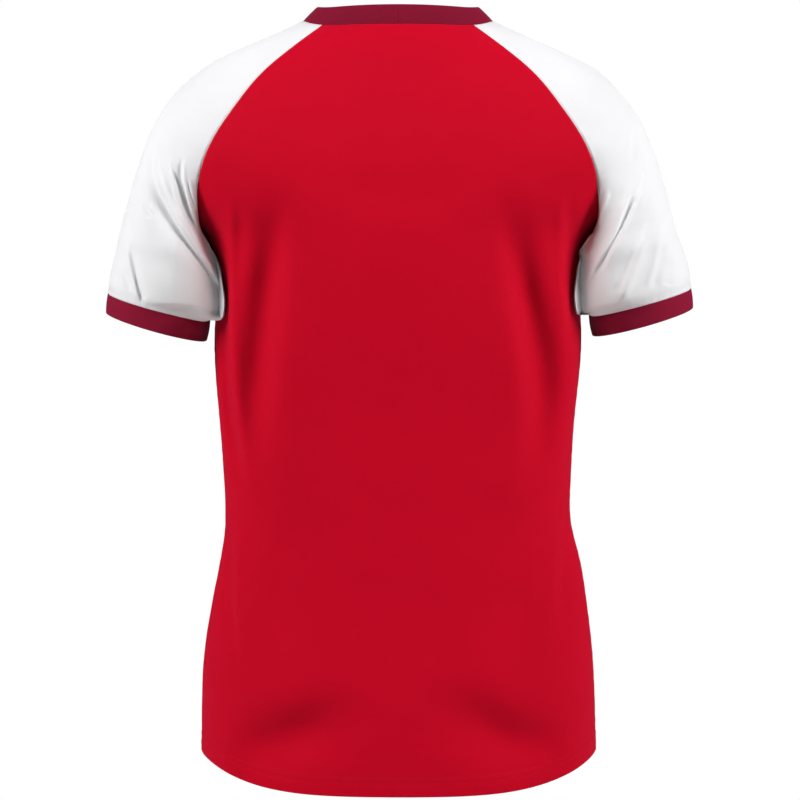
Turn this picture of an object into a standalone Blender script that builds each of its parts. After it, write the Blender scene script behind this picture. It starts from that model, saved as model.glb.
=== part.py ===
"""Football jersey, filled out as if worn, with no wearer.

Frame: metres, +Z up. The back of the shirt faces +Y, its front -Y, and the wearer's left is +X.
The origin is the middle of the neck opening, level with the points where the shoulders meet the neck.

Seven sewn pieces, each a thin curved wall: back and front panels, two raglan sleeves, a neckband and
two cuffs. Every piece is a grid of points between seam lines that it shares with its neighbours. The
grid is the outer face of the cloth. The wall goes inwards from it, and each edge stops half a seam gap
short of the seam line.
"""
import math
from collections import namedtuple

import bpy
import numpy as np

BACK, FRONT = 1, -1
LEFT, RIGHT = 1, -1
SIDE_NAME = {BACK: "back", FRONT: "front"}

# ---------------------------------------------------------------- driving sizes, in metres and degrees
SEAM_GAP = 0.0004
PANEL_WALL = 0.0012
BAND_WALL = 0.0020
BAND_HEIGHT = 0.0185
SECTION_POWER = 2.15          # of the level sections: 2 is an ellipse, more is squarer

NECK_HALF_WIDTH = 0.0920
NECK_MIDDLE_Y = 0.005
NECK_REACH = {BACK: 0.060, FRONT: 0.085}
NECK_SPLIT = {BACK: 52.0, FRONT: 130.0}      # where the raglan seams start, round from the centre back

HEM_LEVEL = -0.7095           # at the side seams
HEM_DROP = {BACK: 0.0300, FRONT: 0.0200}     # from there to the middle
HEM_POWER = 4.0               # a high power keeps the drop near the sides

NECK_SPREAD_FADE = 3          # powers that say how soon the panels and sleeves leave the neckline's shape
NECK_LEVEL_FADE = 1.2

SLEEVE_CLEARANCE = 0.0035     # between a sleeve and the side of the body
CLEARANCE_SOFTNESS = 0.02
CLEARANCE_FADE = 0.030        # how far from the armhole it takes to open
CLEARANCE_START, CLEARANCE_FULL = 0.6, 0.9   # stations of the sleeve
ARMHOLE_RUN = 0.15            # metres of sleeve cloth beside the armhole, for one step across
UNDERARM_RUN = 0.085          # metres of underarm seam, for one station
SEAM_HOLD = 6                 # a high power keeps the bulges clear of the seams
STATION_BLEND = 0.14          # stations over which the sleeve's form is averaged, away from its seams
BLEND_RISE = 0.30             # stations from the neck or the cuff seam to where that is in full
BLEND_HOLD = 4
BLEND_SAMPLES = 7

CUFF_SEAM = 2.0               # stations of the sleeve
CUFF_END = 2.22
RIGHT_CUFF_SHIFT = (0.003, 0.0, 0.005)       # outwards and up, beside the left one
FOLD_START, FOLD_STOP = 0.15, 0.85           # the stretch of a fold's line that is fully deep
FOLD_FACING = 2.5             # how soon a fold fades where the cloth turns from it

# ---------------------------------------------------------------- grid counts
PANEL_COLUMNS = 24
SLEEVE_COLUMNS = 24
RAGLAN_ROWS = 12
SIDE_ROWS = 26
UNDERARM_ROWS = 7
BAND_ROWS = 2
SMOOTH_ANGLE = 50.0

# ---------------------------------------------------------------- section tables
# The body's level sections: half widths to the left and right, reach to the back and front.
Level = namedtuple("Level", "z left right back front")
BODY = (
    Level(-0.0020, 0.0950, 0.0950, 0.0620, 0.0300),
    Level(-0.0244, 0.1443, 0.1443, 0.0755, 0.0490),
    Level(-0.0536, 0.2010, 0.2010, 0.0860, 0.0715),
    Level(-0.0900, 0.2310, 0.2310, 0.0970, 0.0898),
    Level(-0.1270, 0.2400, 0.2400, 0.1055, 0.1062),
    Level(-0.1650, 0.2260, 0.2260, 0.1115, 0.1186),
    Level(-0.1900, 0.2060, 0.2060, 0.1140, 0.1225),
    Level(-0.2120, 0.1870, 0.1870, 0.1150, 0.1238),
    Level(-0.2400, 0.1790, 0.1790, 0.1155, 0.1250),
    Level(-0.2720, 0.1770, 0.1770, 0.1150, 0.1260),
    Level(-0.3020, 0.1784, 0.1784, 0.1140, 0.1255),
    Level(-0.3900, 0.1736, 0.1716, 0.1100, 0.1216),
    Level(-0.4500, 0.1690, 0.1680, 0.1096, 0.1197),
    Level(-0.4900, 0.1680, 0.1686, 0.1096, 0.1190),
    Level(-0.5220, 0.1722, 0.1762, 0.1104, 0.1182),
    Level(-0.5660, 0.1804, 0.1836, 0.1122, 0.1180),
    Level(-0.6100, 0.1872, 0.1888, 0.1160, 0.1185),
    Level(-0.6536, 0.1901, 0.1913, 0.1200, 0.1205),
    Level(-0.7400, 0.1915, 0.1926, 0.1250, 0.1235),
)

# The raglan seams, from the neck (0) to the underarm (1): level, and how far round the body they lie.
Raglan = namedtuple("Raglan", "station back_z back_angle front_z front_angle")
RAGLAN = (
    Raglan(0.0, -0.0100, 39.5, -0.0350, 24.0),
    Raglan(0.2, -0.0400, 36.6, -0.0620, 27.0),
    Raglan(0.4, -0.0730, 38.2, -0.0920, 32.0),
    Raglan(0.6, -0.1120, 43.7, -0.1270, 39.0),
    Raglan(0.8, -0.1600, 54.5, -0.1660, 51.0),
    Raglan(0.9, -0.1870, 66.5, -0.1900, 64.0),
    Raglan(1.0, -0.2120, 90.0, -0.2120, 90.0),
)

# The sleeve's sections: 0 neck, 1 underarm, 2 cuff seam, then the cuff. out_x, out_y and out_z are its
# outermost line, tilt leans the section's back down, wrap is how far round it goes each way from that
# line (up to the underarm seam, from 1 on) and depth is its half depth.
Sleeve = namedtuple("Sleeve", "station out_x out_y out_z tilt wrap depth")
SLEEVE = (
    Sleeve(0.0, 0.0920, 0.005, -0.0020, 15.0, 45.0, 0.066),
    Sleeve(0.2, 0.1400, 0.004, -0.0235, 3.0, 50.0, 0.073),
    Sleeve(0.4, 0.1910, 0.002, -0.0475, 2.0, 56.0, 0.079),
    Sleeve(0.6, 0.2290, 0.000, -0.0865, 1.0, 72.0, 0.074),
    Sleeve(0.8, 0.2515, -0.001, -0.1370, -1.0, 104.0, 0.068),
    Sleeve(1.0, 0.2665, -0.003, -0.1900, -5.0, 180.0, 0.071),
    Sleeve(1.4, 0.2735, -0.006, -0.2180, -5.5, 180.0, 0.071),
    Sleeve(1.8, 0.2815, -0.010, -0.2500, -5.5, 180.0, 0.068),
    Sleeve(CUFF_SEAM, 0.2837, -0.011, -0.2662, -5.5, 180.0, 0.063),
    Sleeve(CUFF_END, 0.2857, -0.013, -0.2847, -5.5, 180.0, 0.062),
)

# How far the sleeve bulges in over the body's side, above the tighter cuff.
Roll = namedtuple("Roll", "station reach")
ROLL = (
    Roll(0.62, 0.000),
    Roll(0.95, 0.019),
    Roll(1.30, 0.039),
    Roll(1.75, 0.050),
    Roll(1.85, 0.050),
    Roll(CUFF_SEAM, 0.010),
    Roll(CUFF_END, 0.000),
)
ROLL_ANGLE = 128.0            # where round the sleeve the bulge is
ROLL_SPREAD = 34.0
ROLL_BACKWARDS = 0.05         # its share that goes back, beside what goes in
FRONT_ROLL = 0.45             # the front bulge, as a share of the back one

# The underarm seam, on the sleeve's inner side.
Underarm = namedtuple("Underarm", "station x y z")
UNDERARM = (
    Underarm(1.0, 0.1870, 0.000, -0.2120),
    Underarm(1.5, 0.1835, -0.003, -0.2530),
    Underarm(CUFF_SEAM, 0.1830, -0.006, -0.2935),
    Underarm(CUFF_END, 0.1870, -0.008, -0.3130),
)

# The neckline's level, and how the neckband leans inwards and up: from the centre back (1) to the
# centre front (-1).
Neck = namedtuple("Neck", "backness z inwards up")
NECK = (
    Neck(1.00, -0.0120, 0.10, 0.99),
    Neck(0.62, -0.0100, 0.35, 0.93),
    Neck(0.00, -0.0020, 0.75, 0.66),
    Neck(-0.64, -0.0350, 0.74, 0.67),
    Neck(-1.00, -0.0880, 0.62, 0.78),
)

# The largest folds: soft troughs (depth below 0) and ridges along straight lines, placed across and up.
# They show on cloth that faces back, front or, with side 0, either way, and fade out over their width.
Fold = namedtuple("Fold", "name side x z end_x end_z width depth")
FOLDS = (
    Fold("left hip", BACK, 0.043, -0.634, 0.135, -0.686, 0.020, -0.0045),
    Fold("right hip", BACK, -0.038, -0.629, -0.130, -0.681, 0.020, -0.0045),
    Fold("left side drag", BACK, 0.157, -0.245, 0.154, -0.430, 0.015, -0.0030),
    Fold("right side drag", BACK, -0.140, -0.245, -0.143, -0.430, 0.015, -0.0025),
    Fold("right side ridge", BACK, -0.108, -0.215, -0.112, -0.400, 0.016, 0.0020),
    Fold("left waist", 0, 0.168, -0.500, 0.154, -0.630, 0.014, -0.0030),
    Fold("right waist", 0, -0.168, -0.486, -0.158, -0.600, 0.014, -0.0025),
    Fold("between the shoulder blades", BACK, 0.060, -0.178, -0.060, -0.178, 0.026, -0.0030),
    Fold("left sleeve, upper", BACK, 0.236, -0.138, 0.212, -0.205, 0.012, -0.0030),
    Fold("left sleeve, lower", BACK, 0.212, -0.205, 0.184, -0.262, 0.012, -0.0040),
    Fold("right sleeve, upper", BACK, -0.229, -0.118, -0.219, -0.190, 0.012, -0.0030),
    Fold("right sleeve, lower", BACK, -0.219, -0.190, -0.188, -0.255, 0.012, -0.0040),
    Fold("left belly", FRONT, 0.050, -0.600, 0.140, -0.660, 0.022, -0.0040),
    Fold("right belly", FRONT, -0.040, -0.610, -0.132, -0.662, 0.022, -0.0035),
    Fold("left chest drag", FRONT, 0.150, -0.220, 0.146, -0.400, 0.016, -0.0030),
    Fold("right chest drag", FRONT, -0.146, -0.230, -0.150, -0.410, 0.016, -0.0030),
    Fold("left sleeve front", FRONT, 0.230, -0.140, 0.195, -0.240, 0.012, -0.0030),
    Fold("right sleeve front", FRONT, -0.232, -0.132, -0.197, -0.235, 0.012, -0.0030),
)

Look = namedtuple("Look", "colour roughness")
RED = Look((0.479, 0.004, 0.016), 0.62)
WHITE = Look((0.90, 0.90, 0.90), 0.62)
MAROON = Look((0.215, 0.008, 0.030), 0.72)


# ---------------------------------------------------------------- curves through the tables
def spline(rows, across, column, at):
    """Natural cubic spline through one column of a table, read at any array of places."""
    knots = np.array([getattr(row, across) for row in rows])
    values = np.array([getattr(row, column) for row in rows])
    if knots[0] > knots[-1]:
        knots, values = knots[::-1], values[::-1]
    step = np.diff(knots)
    slope = np.diff(values) / step
    matrix = np.eye(len(knots))
    target = np.zeros(len(knots))
    for i in range(1, len(knots) - 1):
        matrix[i, i - 1:i + 2] = step[i - 1], 2 * (step[i - 1] + step[i]), step[i]
        target[i] = 6 * (slope[i] - slope[i - 1])
    bend = np.linalg.solve(matrix, target)
    at = np.asarray(at, float)
    i = np.clip(np.searchsorted(knots, at) - 1, 0, len(knots) - 2)
    low = (knots[i + 1] - at) / step[i]
    high = 1 - low
    curve = ((low**3 - low) * bend[i] + (high**3 - high) * bend[i + 1]) * step[i]**2 / 6
    return low * values[i] + high * values[i + 1] + curve


def ease(value):
    """0 up to 0, 1 from 1 on, smooth between."""
    value = np.clip(value, 0, 1)
    return value * value * (3 - 2 * value)


def eased(rows, column, at):
    """A column of a table read between its rows, with a soft start and stop at each row."""
    knots = [row.station for row in rows]
    place = np.interp(at, knots, range(len(rows)))
    row = np.minimum(place.astype(int), len(rows) - 2)
    values = np.array([getattr(row, column) for row in rows])
    return values[row] + (values[row + 1] - values[row]) * ease(place - row)


def signed_power(value, power):
    return np.sign(value) * np.abs(value)**power


def unit(vectors):
    return vectors / np.maximum(np.linalg.norm(vectors, axis=-1, keepdims=True), 1e-12)


def without(vectors, direction):
    """The vectors with their part along a unit direction taken off."""
    return vectors - np.sum(vectors * direction, axis=-1, keepdims=True) * direction


# ---------------------------------------------------------------- the body
def body(side, angle, z):
    """Points of the body's cloth: the angle goes from -90 at the right side seam to 90 at the left one."""
    turn = np.radians(angle)
    half = np.where(turn > 0, spline(BODY, "z", "left", z), spline(BODY, "z", "right", z))
    x = half * signed_power(np.sin(turn), 2 / SECTION_POWER)
    y = side * spline(BODY, "z", SIDE_NAME[side], z) * np.abs(np.cos(turn))**(2 / SECTION_POWER)
    return np.stack([x, y, z + 0 * x], axis=-1)


def neckline(angle):
    """The neck seam, angle round from the centre back: positive to the left."""
    turn = np.radians(angle)
    reach = np.where(np.cos(turn) > 0, NECK_REACH[BACK], NECK_REACH[FRONT])
    x = NECK_HALF_WIDTH * np.sin(turn)
    y = NECK_MIDDLE_Y + reach * np.cos(turn)
    return np.stack([x, y, spline(NECK, "backness", "z", np.cos(turn))], axis=-1)


def raglan(side, column, station):
    return spline(RAGLAN, "station", SIDE_NAME[side] + "_" + column, station)


def seam(side, station):
    """The raglan seam on the left half, at the back or the front."""
    start = body(side, raglan(side, "angle", 0.0), raglan(side, "z", 0.0))
    onto_neck = neckline(np.array(NECK_SPLIT[side])) - start
    fade = (1 - station)**NECK_SPREAD_FADE
    line = body(side, raglan(side, "angle", station), raglan(side, "z", station))
    return line + fade[..., None] * onto_neck


def panel_neck(side, across):
    """The panel's stretch of neckline, from its right end (-1) to its left one (1)."""
    if side == BACK:
        return neckline(across * NECK_SPLIT[BACK])
    from_middle = (180 - NECK_SPLIT[FRONT]) * np.abs(across)
    return neckline(np.where(across < 0, -1, 1) * (180 - from_middle))


def panel_grid(side):
    """The back or front panel: rows from the neck to the underarm, then on to the hem."""
    across = np.linspace(-1, 1, PANEL_COLUMNS + 1)
    neck = panel_neck(side, across)
    start = body(side, across * raglan(side, "angle", 0.0), neck[:, 2])
    above_seam = neck[:, 2] - raglan(side, "z", 0.0)
    rows = []
    for station in np.linspace(0, 1, RAGLAN_ROWS + 1):
        fade = 1 - station
        z = raglan(side, "z", station) + above_seam * fade**NECK_LEVEL_FADE
        level = body(side, across * raglan(side, "angle", station), z)
        rows.append(level + fade**NECK_SPREAD_FADE * (neck - start))
    underarm_z = raglan(side, "z", 1.0)
    share_out = np.abs(np.sin(np.radians(across * 90)))**(2 / SECTION_POWER)
    hem_z = HEM_LEVEL - HEM_DROP[side] * (1 - share_out**HEM_POWER)
    for share in np.linspace(0, 1, SIDE_ROWS + 1)[1:]:
        rows.append(body(side, across * 90, underarm_z + share * (hem_z - underarm_z)))
    return np.array(rows)


# ---------------------------------------------------------------- the sleeves
def beside_body(points, fade):
    """Moves points that lie in the body, or close to it, out to the sleeve's clearance, softly."""
    x, y, z = points[..., 0], points[..., 1], points[..., 2]
    half = spline(BODY, "z", "left", z)
    reach = np.where(y > 0, spline(BODY, "z", "back", z), spline(BODY, "z", "front", z))
    size = (np.abs(x / half)**SECTION_POWER + np.abs(y / reach)**SECTION_POWER)**(1 / SECTION_POWER)
    wanted = 1 + SLEEVE_CLEARANCE / half
    grown = (size + wanted + np.sqrt((size - wanted)**2 + (CLEARANCE_SOFTNESS * fade)**2)) / 2
    scale = 1 + fade * (grown / size - 1)
    return np.stack([x * scale, y * scale, z], axis=-1)


def sleeve_points(station, across):
    """Points of the left sleeve: across is 1 at the back seam, 0 on the outermost line, -1 at the front."""
    value = {name: spline(SLEEVE, "station", name, station) for name in Sleeve._fields[1:]}
    wrap = np.radians(np.minimum(np.where(station < 1, value["wrap"], 180), 180))
    tilt = np.radians(value["tilt"])
    out = np.stack([value["out_x"], value["out_y"], value["out_z"]], axis=-1)
    backwards = np.stack([0 * tilt, np.cos(tilt), np.sin(tilt)], axis=-1)
    on_raglan = np.clip(station, 0, 1)
    underarm = [spline(UNDERARM, "station", name, np.maximum(station, 1)) for name in "xyz"]
    ends = {side: np.where((station < 1)[..., None], seam(side, on_raglan), np.stack(underarm, axis=-1))
            for side in (BACK, FRONT)}
    inwards = without((ends[BACK] + ends[FRONT]) / 2 - out, backwards)
    radius = np.linalg.norm(inwards, axis=-1) / (1 - np.cos(wrap))
    inwards = unit(inwards)

    def ring(angle):
        return (out + (radius * (1 - np.cos(angle)))[..., None] * inwards
                + (value["depth"] * np.sin(angle))[..., None] * backwards)

    share = np.abs(across)
    turn = wrap * across
    points = ring(turn)
    for side in (BACK, FRONT):
        points += (share**2 * (across * side > 0))[..., None] * (ends[side] - ring(side * wrap))
    degrees = np.degrees(turn)
    bulge = np.exp(-((degrees - ROLL_ANGLE) / ROLL_SPREAD)**2)
    bulge += FRONT_ROLL * np.exp(-((degrees + ROLL_ANGLE) / ROLL_SPREAD)**2)
    reach = eased(ROLL, "reach", station) * bulge * (1 - share**SEAM_HOLD)
    return points + reach[..., None] * (inwards + ROLL_BACKWARDS * np.sign(across)[..., None] * backwards)


def blended_sleeve(station, across):
    """The sleeve's points averaged along it, so that the armhole's corner leaves no ridge across it."""
    reach = STATION_BLEND * (1 - np.abs(across)**BLEND_HOLD)
    reach *= ease(station / BLEND_RISE) * ease((CUFF_SEAM - station) / BLEND_RISE)
    steps = np.linspace(-1, 1, BLEND_SAMPLES)
    weights = 1 + np.cos(steps * math.pi * BLEND_SAMPLES / (BLEND_SAMPLES + 1))
    total = sum(weight * sleeve_points(station + step * reach, across)
                for step, weight in zip(steps, weights))
    return total / weights.sum()


def sleeve_grid(side, stations):
    """The sleeve's cloth, its neck edge on the neckline and its inner side clear of the body."""
    columns = np.linspace(1, -1, SLEEVE_COLUMNS + 1)
    station, across = np.meshgrid(np.array(stations), columns, indexing="ij")
    neck = neckline((sum(NECK_SPLIT.values()) - across * (NECK_SPLIT[FRONT] - NECK_SPLIT[BACK])) / 2)
    onto_neck = neck - sleeve_points(0 * station, across)
    fade = (1 - np.minimum(station, 1))**NECK_SPREAD_FADE
    points = blended_sleeve(station, across) + fade[..., None] * onto_neck
    down_seam = UNDERARM_RUN * np.maximum(station - 1, 0)
    from_armhole = np.hypot(ARMHOLE_RUN * (1 - np.abs(across)) * (station < 1) + down_seam, down_seam)
    beside = ease((station - CLEARANCE_START) / (CLEARANCE_FULL - CLEARANCE_START))
    points = beside_body(points, beside * ease(from_armhole / CLEARANCE_FADE))
    if side == RIGHT:
        shift = ease((station - CLEARANCE_START) / (CUFF_SEAM - CLEARANCE_START))
        points += shift[..., None] * np.array(RIGHT_CUFF_SHIFT)
        points *= np.array([-1, 1, 1])
    return points


# ---------------------------------------------------------------- the neckband
def neckband_grid():
    """From the neck seam up, closed at the centre back, where its two ends are sewn together."""
    back = np.linspace(0, NECK_SPLIT[BACK], PANEL_COLUMNS // 2 + 1)
    shoulder = np.linspace(NECK_SPLIT[BACK], NECK_SPLIT[FRONT], SLEEVE_COLUMNS + 1)[1:]
    front = np.linspace(NECK_SPLIT[FRONT], 180, PANEL_COLUMNS // 2 + 1)[1:]
    half = np.concatenate([back, shoulder, front])
    angle = np.concatenate([half, -half[-2::-1]])
    seam_line = neckline(angle)
    backness = np.cos(np.radians(angle))
    inwards = spline(NECK, "backness", "inwards", backness)
    up = spline(NECK, "backness", "up", backness)
    lean = unit(np.stack([-np.sin(np.radians(angle)) * inwards, -backness * inwards, up], axis=-1))
    return np.array([seam_line + lean * BAND_HEIGHT * row / BAND_ROWS for row in range(BAND_ROWS, -1, -1)])


# ---------------------------------------------------------------- from grids to cloth walls
def grid_normals(grid, outwards):
    down = np.gradient(grid, axis=0)
    along = np.gradient(grid, axis=1)
    return outwards * unit(np.cross(along, down))


def edge_keys(grid):
    """The grid's edge points, each with a key that the neighbouring piece's same point shares."""
    rows, columns = grid.shape[:2]
    for i in range(rows):
        for j in range(columns):
            if i in (0, rows - 1) or j in (0, columns - 1):
                yield i, j, tuple(np.round(grid[i, j] * 1e5).astype(int))


def share_seam_normals(pieces):
    """Pieces that meet at a seam get one common direction there, so that their edges meet squarely."""
    total = {}
    for piece in pieces:
        for i, j, key in edge_keys(piece["grid"]):
            total[key] = total.get(key, 0) + piece["normals"][i, j]
    for piece in pieces:
        for i, j, key in edge_keys(piece["grid"]):
            piece["normals"][i, j] = unit(total[key])


def folds(grid, normals):
    """How far each point moves out (or, below 0, in) for the folds."""
    total = np.zeros(grid.shape[:-1])
    for fold in FOLDS:
        start = np.array([fold.x, fold.z])
        run = np.array([fold.end_x, fold.end_z]) - start
        place = grid[..., [0, 2]] - start
        along = np.clip(place @ run / (run @ run), FOLD_START, FOLD_STOP)
        off = place - along[..., None] * run
        facing = ease(FOLD_FACING * fold.side * normals[..., 1]) if fold.side else 1
        total += fold.depth * facing * np.exp(-np.sum(off**2, axis=-1) / fold.width**2)
    return total


def inset(grid, normals, gap):
    """Draws the four edges in by half the seam gap."""
    moved = grid.copy()
    for axis in (0, 1):
        lines = np.moveaxis(grid, axis, 0)
        facing = np.moveaxis(normals, axis, 0)
        target = np.moveaxis(moved, axis, 0)
        for edge, inner in ((0, 1), (-1, -2)):
            run = unit(np.gradient(lines[edge], axis=0))
            inwards = without(without(lines[inner] - lines[edge], facing[edge]), run)
            target[edge] += unit(inwards) * gap / 2
    return moved


def wall_faces(rows, columns):
    """Faces of a wall whose outer grid of points comes first, then the inner one."""
    def index(i, j, layer):
        return layer * rows * columns + i * columns + j

    faces = []
    for i in range(rows - 1):
        for j in range(columns - 1):
            faces.append([index(i, j, 0), index(i, j + 1, 0), index(i + 1, j + 1, 0), index(i + 1, j, 0)])
            faces.append([index(i, j, 1), index(i + 1, j, 1), index(i + 1, j + 1, 1), index(i, j + 1, 1)])
    last = columns - 1
    for i in range(rows - 1):
        faces.append([index(i, 0, 0), index(i + 1, 0, 0), index(i + 1, 0, 1), index(i, 0, 1)])
        faces.append([index(i, last, 0), index(i, last, 1), index(i + 1, last, 1), index(i + 1, last, 0)])
    last = rows - 1
    for j in range(columns - 1):
        faces.append([index(0, j, 0), index(0, j, 1), index(0, j + 1, 1), index(0, j + 1, 0)])
        faces.append([index(last, j, 0), index(last, j + 1, 0), index(last, j + 1, 1), index(last, j, 1)])
    return faces


def cloth_wall(piece):
    """One closed solid: the outer grid, the same grid moved in by the wall, and the four edges."""
    outer = inset(piece["grid"], piece["normals"], SEAM_GAP)
    outer += folds(piece["grid"], piece["normals"])[..., None] * piece["normals"]
    inner = outer - piece["normals"] * piece["wall"]
    faces = wall_faces(*outer.shape[:2])
    if piece["outwards"] < 0:
        faces = [face[::-1] for face in faces]
    mesh = bpy.data.meshes.new(piece["name"])
    mesh.from_pydata(np.concatenate([outer.reshape(-1, 3), inner.reshape(-1, 3)]).tolist(), [], faces)
    mesh.validate()
    mesh.shade_smooth()
    mesh.set_sharp_from_angle(angle=math.radians(SMOOTH_ANGLE))
    mesh.materials.append(cloth_material(piece["name"], piece["look"]))
    thing = bpy.data.objects.new(piece["name"], mesh)
    bpy.context.scene.collection.objects.link(thing)


def cloth_material(name, look):
    material = bpy.data.materials.new(name)
    material.use_nodes = True
    shader = material.node_tree.nodes["Principled BSDF"]
    shader.inputs["Base Color"].default_value = (*look.colour, 1)
    shader.inputs["Roughness"].default_value = look.roughness
    shader.inputs["Metallic"].default_value = 0
    return material


def make_piece(name, grid, wall, look, outwards):
    """A piece of cloth before it gets its wall: outwards is 1 or -1, as the grid's rows and columns turn."""
    normals = grid_normals(grid, outwards)
    return {"name": name, "grid": grid, "normals": normals, "wall": wall, "look": look, "outwards": outwards}


def main():
    for thing in list(bpy.data.objects):
        bpy.data.objects.remove(thing, do_unlink=True)
    above_underarm = np.linspace(0, 1, RAGLAN_ROWS + 1)
    below_underarm = 1 + np.sin(np.linspace(0, math.pi / 2, UNDERARM_ROWS + 1)[1:])
    sleeve_stations = np.concatenate([above_underarm, below_underarm])
    cuff_stations = np.linspace(CUFF_SEAM, CUFF_END, BAND_ROWS + 1)
    pieces = [
        make_piece("back_panel", panel_grid(BACK), PANEL_WALL, RED, 1),
        make_piece("front_panel", panel_grid(FRONT), PANEL_WALL, RED, -1),
        make_piece("neckband", neckband_grid(), BAND_WALL, MAROON, 1),
    ]
    for name, side in (("left", LEFT), ("right", RIGHT)):
        sleeve = sleeve_grid(side, sleeve_stations)
        cuff = sleeve_grid(side, cuff_stations)
        pieces.append(make_piece("sleeve_" + name, sleeve, PANEL_WALL, WHITE, side))
        pieces.append(make_piece("cuff_" + name, cuff, BAND_WALL, MAROON, side))
    share_seam_normals(pieces)
    for piece in pieces:
        cloth_wall(piece)


main()
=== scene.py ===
"""Football jersey, filled out as if worn: seven sewn pieces of knitted cloth with seams, hem and creases.

Frame: metres, +Z up. The back of the shirt faces +Y, its front -Y, and the wearer's left is +X. Each piece
of cloth is a thin shell over the grid of its solid, with the same tables and formulas, only finer.
"""

import functools
import math
from collections import namedtuple

import bpy
import numpy as np
from bpy.props import FloatProperty, FloatVectorProperty, PointerProperty
from mathutils.kdtree import KDTree
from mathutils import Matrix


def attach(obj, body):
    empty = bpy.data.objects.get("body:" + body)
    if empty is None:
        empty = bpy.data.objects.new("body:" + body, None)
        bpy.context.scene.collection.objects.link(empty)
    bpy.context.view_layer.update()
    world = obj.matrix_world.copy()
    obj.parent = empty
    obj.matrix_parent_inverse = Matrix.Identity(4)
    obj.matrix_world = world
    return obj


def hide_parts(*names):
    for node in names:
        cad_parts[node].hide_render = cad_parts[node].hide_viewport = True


bl_info = {
    "name": "Football Jersey",
    "version": (1, 0, 0),
    "blender": (4, 5, 0),
    "location": "3D View > Sidebar > Jersey",
    "description": "Lays the knitted cloth, seams and stitching of a raglan football jersey over its solids",
    "category": "Add Mesh",
}

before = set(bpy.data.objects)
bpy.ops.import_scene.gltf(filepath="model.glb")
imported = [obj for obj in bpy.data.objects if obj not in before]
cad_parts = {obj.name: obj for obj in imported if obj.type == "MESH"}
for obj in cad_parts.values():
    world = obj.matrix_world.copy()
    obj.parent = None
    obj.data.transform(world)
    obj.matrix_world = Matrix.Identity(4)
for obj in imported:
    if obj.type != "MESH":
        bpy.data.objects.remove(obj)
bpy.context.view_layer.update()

BACK, FRONT = 1, -1
LEFT, RIGHT = 1, -1
SIDE_NAME = {BACK: "back", FRONT: "front"}

# ---------------------------------------------------------------- driving sizes, in metres and degrees
BAND_HEIGHT = 0.0185
SECTION_POWER = 2.15          # of the level sections: 2 is an ellipse, more is squarer

NECK_HALF_WIDTH = 0.0920
NECK_MIDDLE_Y = 0.005
NECK_REACH = {BACK: 0.060, FRONT: 0.085}
NECK_SPLIT = {BACK: 52.0, FRONT: 130.0}      # where the raglan seams start, round from the centre back

HEM_LEVEL = -0.7095           # at the side seams
HEM_DROP = {BACK: 0.0300, FRONT: 0.0200}     # from there to the middle
HEM_POWER = 4.0               # a high power keeps the drop near the sides

NECK_SPREAD_FADE = 3          # powers that say how soon the panels and sleeves leave the neckline's shape
NECK_LEVEL_FADE = 1.2

SLEEVE_CLEARANCE = 0.0035     # between a sleeve and the side of the body
CLEARANCE_SOFTNESS = 0.02
CLEARANCE_FADE = 0.030        # how far from the armhole it takes to open
CLEARANCE_START, CLEARANCE_FULL = 0.6, 0.9   # stations of the sleeve
ARMHOLE_RUN = 0.15            # metres of sleeve cloth beside the armhole, for one step across
UNDERARM_RUN = 0.085          # metres of underarm seam, for one station
SEAM_HOLD = 6                 # a high power keeps the bulges clear of the seams
STATION_BLEND = 0.14          # stations over which the sleeve's form is averaged, away from its seams
BLEND_RISE = 0.30             # stations from the neck or the cuff seam to where that is in full
BLEND_HOLD = 4
BLEND_SAMPLES = 7

CUFF_SEAM = 2.0               # stations of the sleeve
CUFF_END = 2.22
RIGHT_CUFF_SHIFT = (0.003, 0.0, 0.005)       # outwards and up, beside the left one

# ---------------------------------------------------------------- section tables
# The body's level sections: half widths to the left and right, reach to the back and front.
Level = namedtuple("Level", "z left right back front")
BODY = (
    Level(-0.0020, 0.0950, 0.0950, 0.0620, 0.0300),
    Level(-0.0244, 0.1443, 0.1443, 0.0755, 0.0490),
    Level(-0.0536, 0.2010, 0.2010, 0.0860, 0.0715),
    Level(-0.0900, 0.2310, 0.2310, 0.0970, 0.0898),
    Level(-0.1270, 0.2400, 0.2400, 0.1055, 0.1062),
    Level(-0.1650, 0.2260, 0.2260, 0.1115, 0.1186),
    Level(-0.1900, 0.2060, 0.2060, 0.1140, 0.1225),
    Level(-0.2120, 0.1870, 0.1870, 0.1150, 0.1238),
    Level(-0.2400, 0.1790, 0.1790, 0.1155, 0.1250),
    Level(-0.2720, 0.1770, 0.1770, 0.1150, 0.1260),
    Level(-0.3020, 0.1784, 0.1784, 0.1140, 0.1255),
    Level(-0.3900, 0.1736, 0.1716, 0.1100, 0.1216),
    Level(-0.4500, 0.1690, 0.1680, 0.1096, 0.1197),
    Level(-0.4900, 0.1680, 0.1686, 0.1096, 0.1190),
    Level(-0.5220, 0.1722, 0.1762, 0.1104, 0.1182),
    Level(-0.5660, 0.1804, 0.1836, 0.1122, 0.1180),
    Level(-0.6100, 0.1872, 0.1888, 0.1160, 0.1185),
    Level(-0.6536, 0.1901, 0.1913, 0.1200, 0.1205),
    Level(-0.7400, 0.1915, 0.1926, 0.1250, 0.1235),
)

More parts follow.
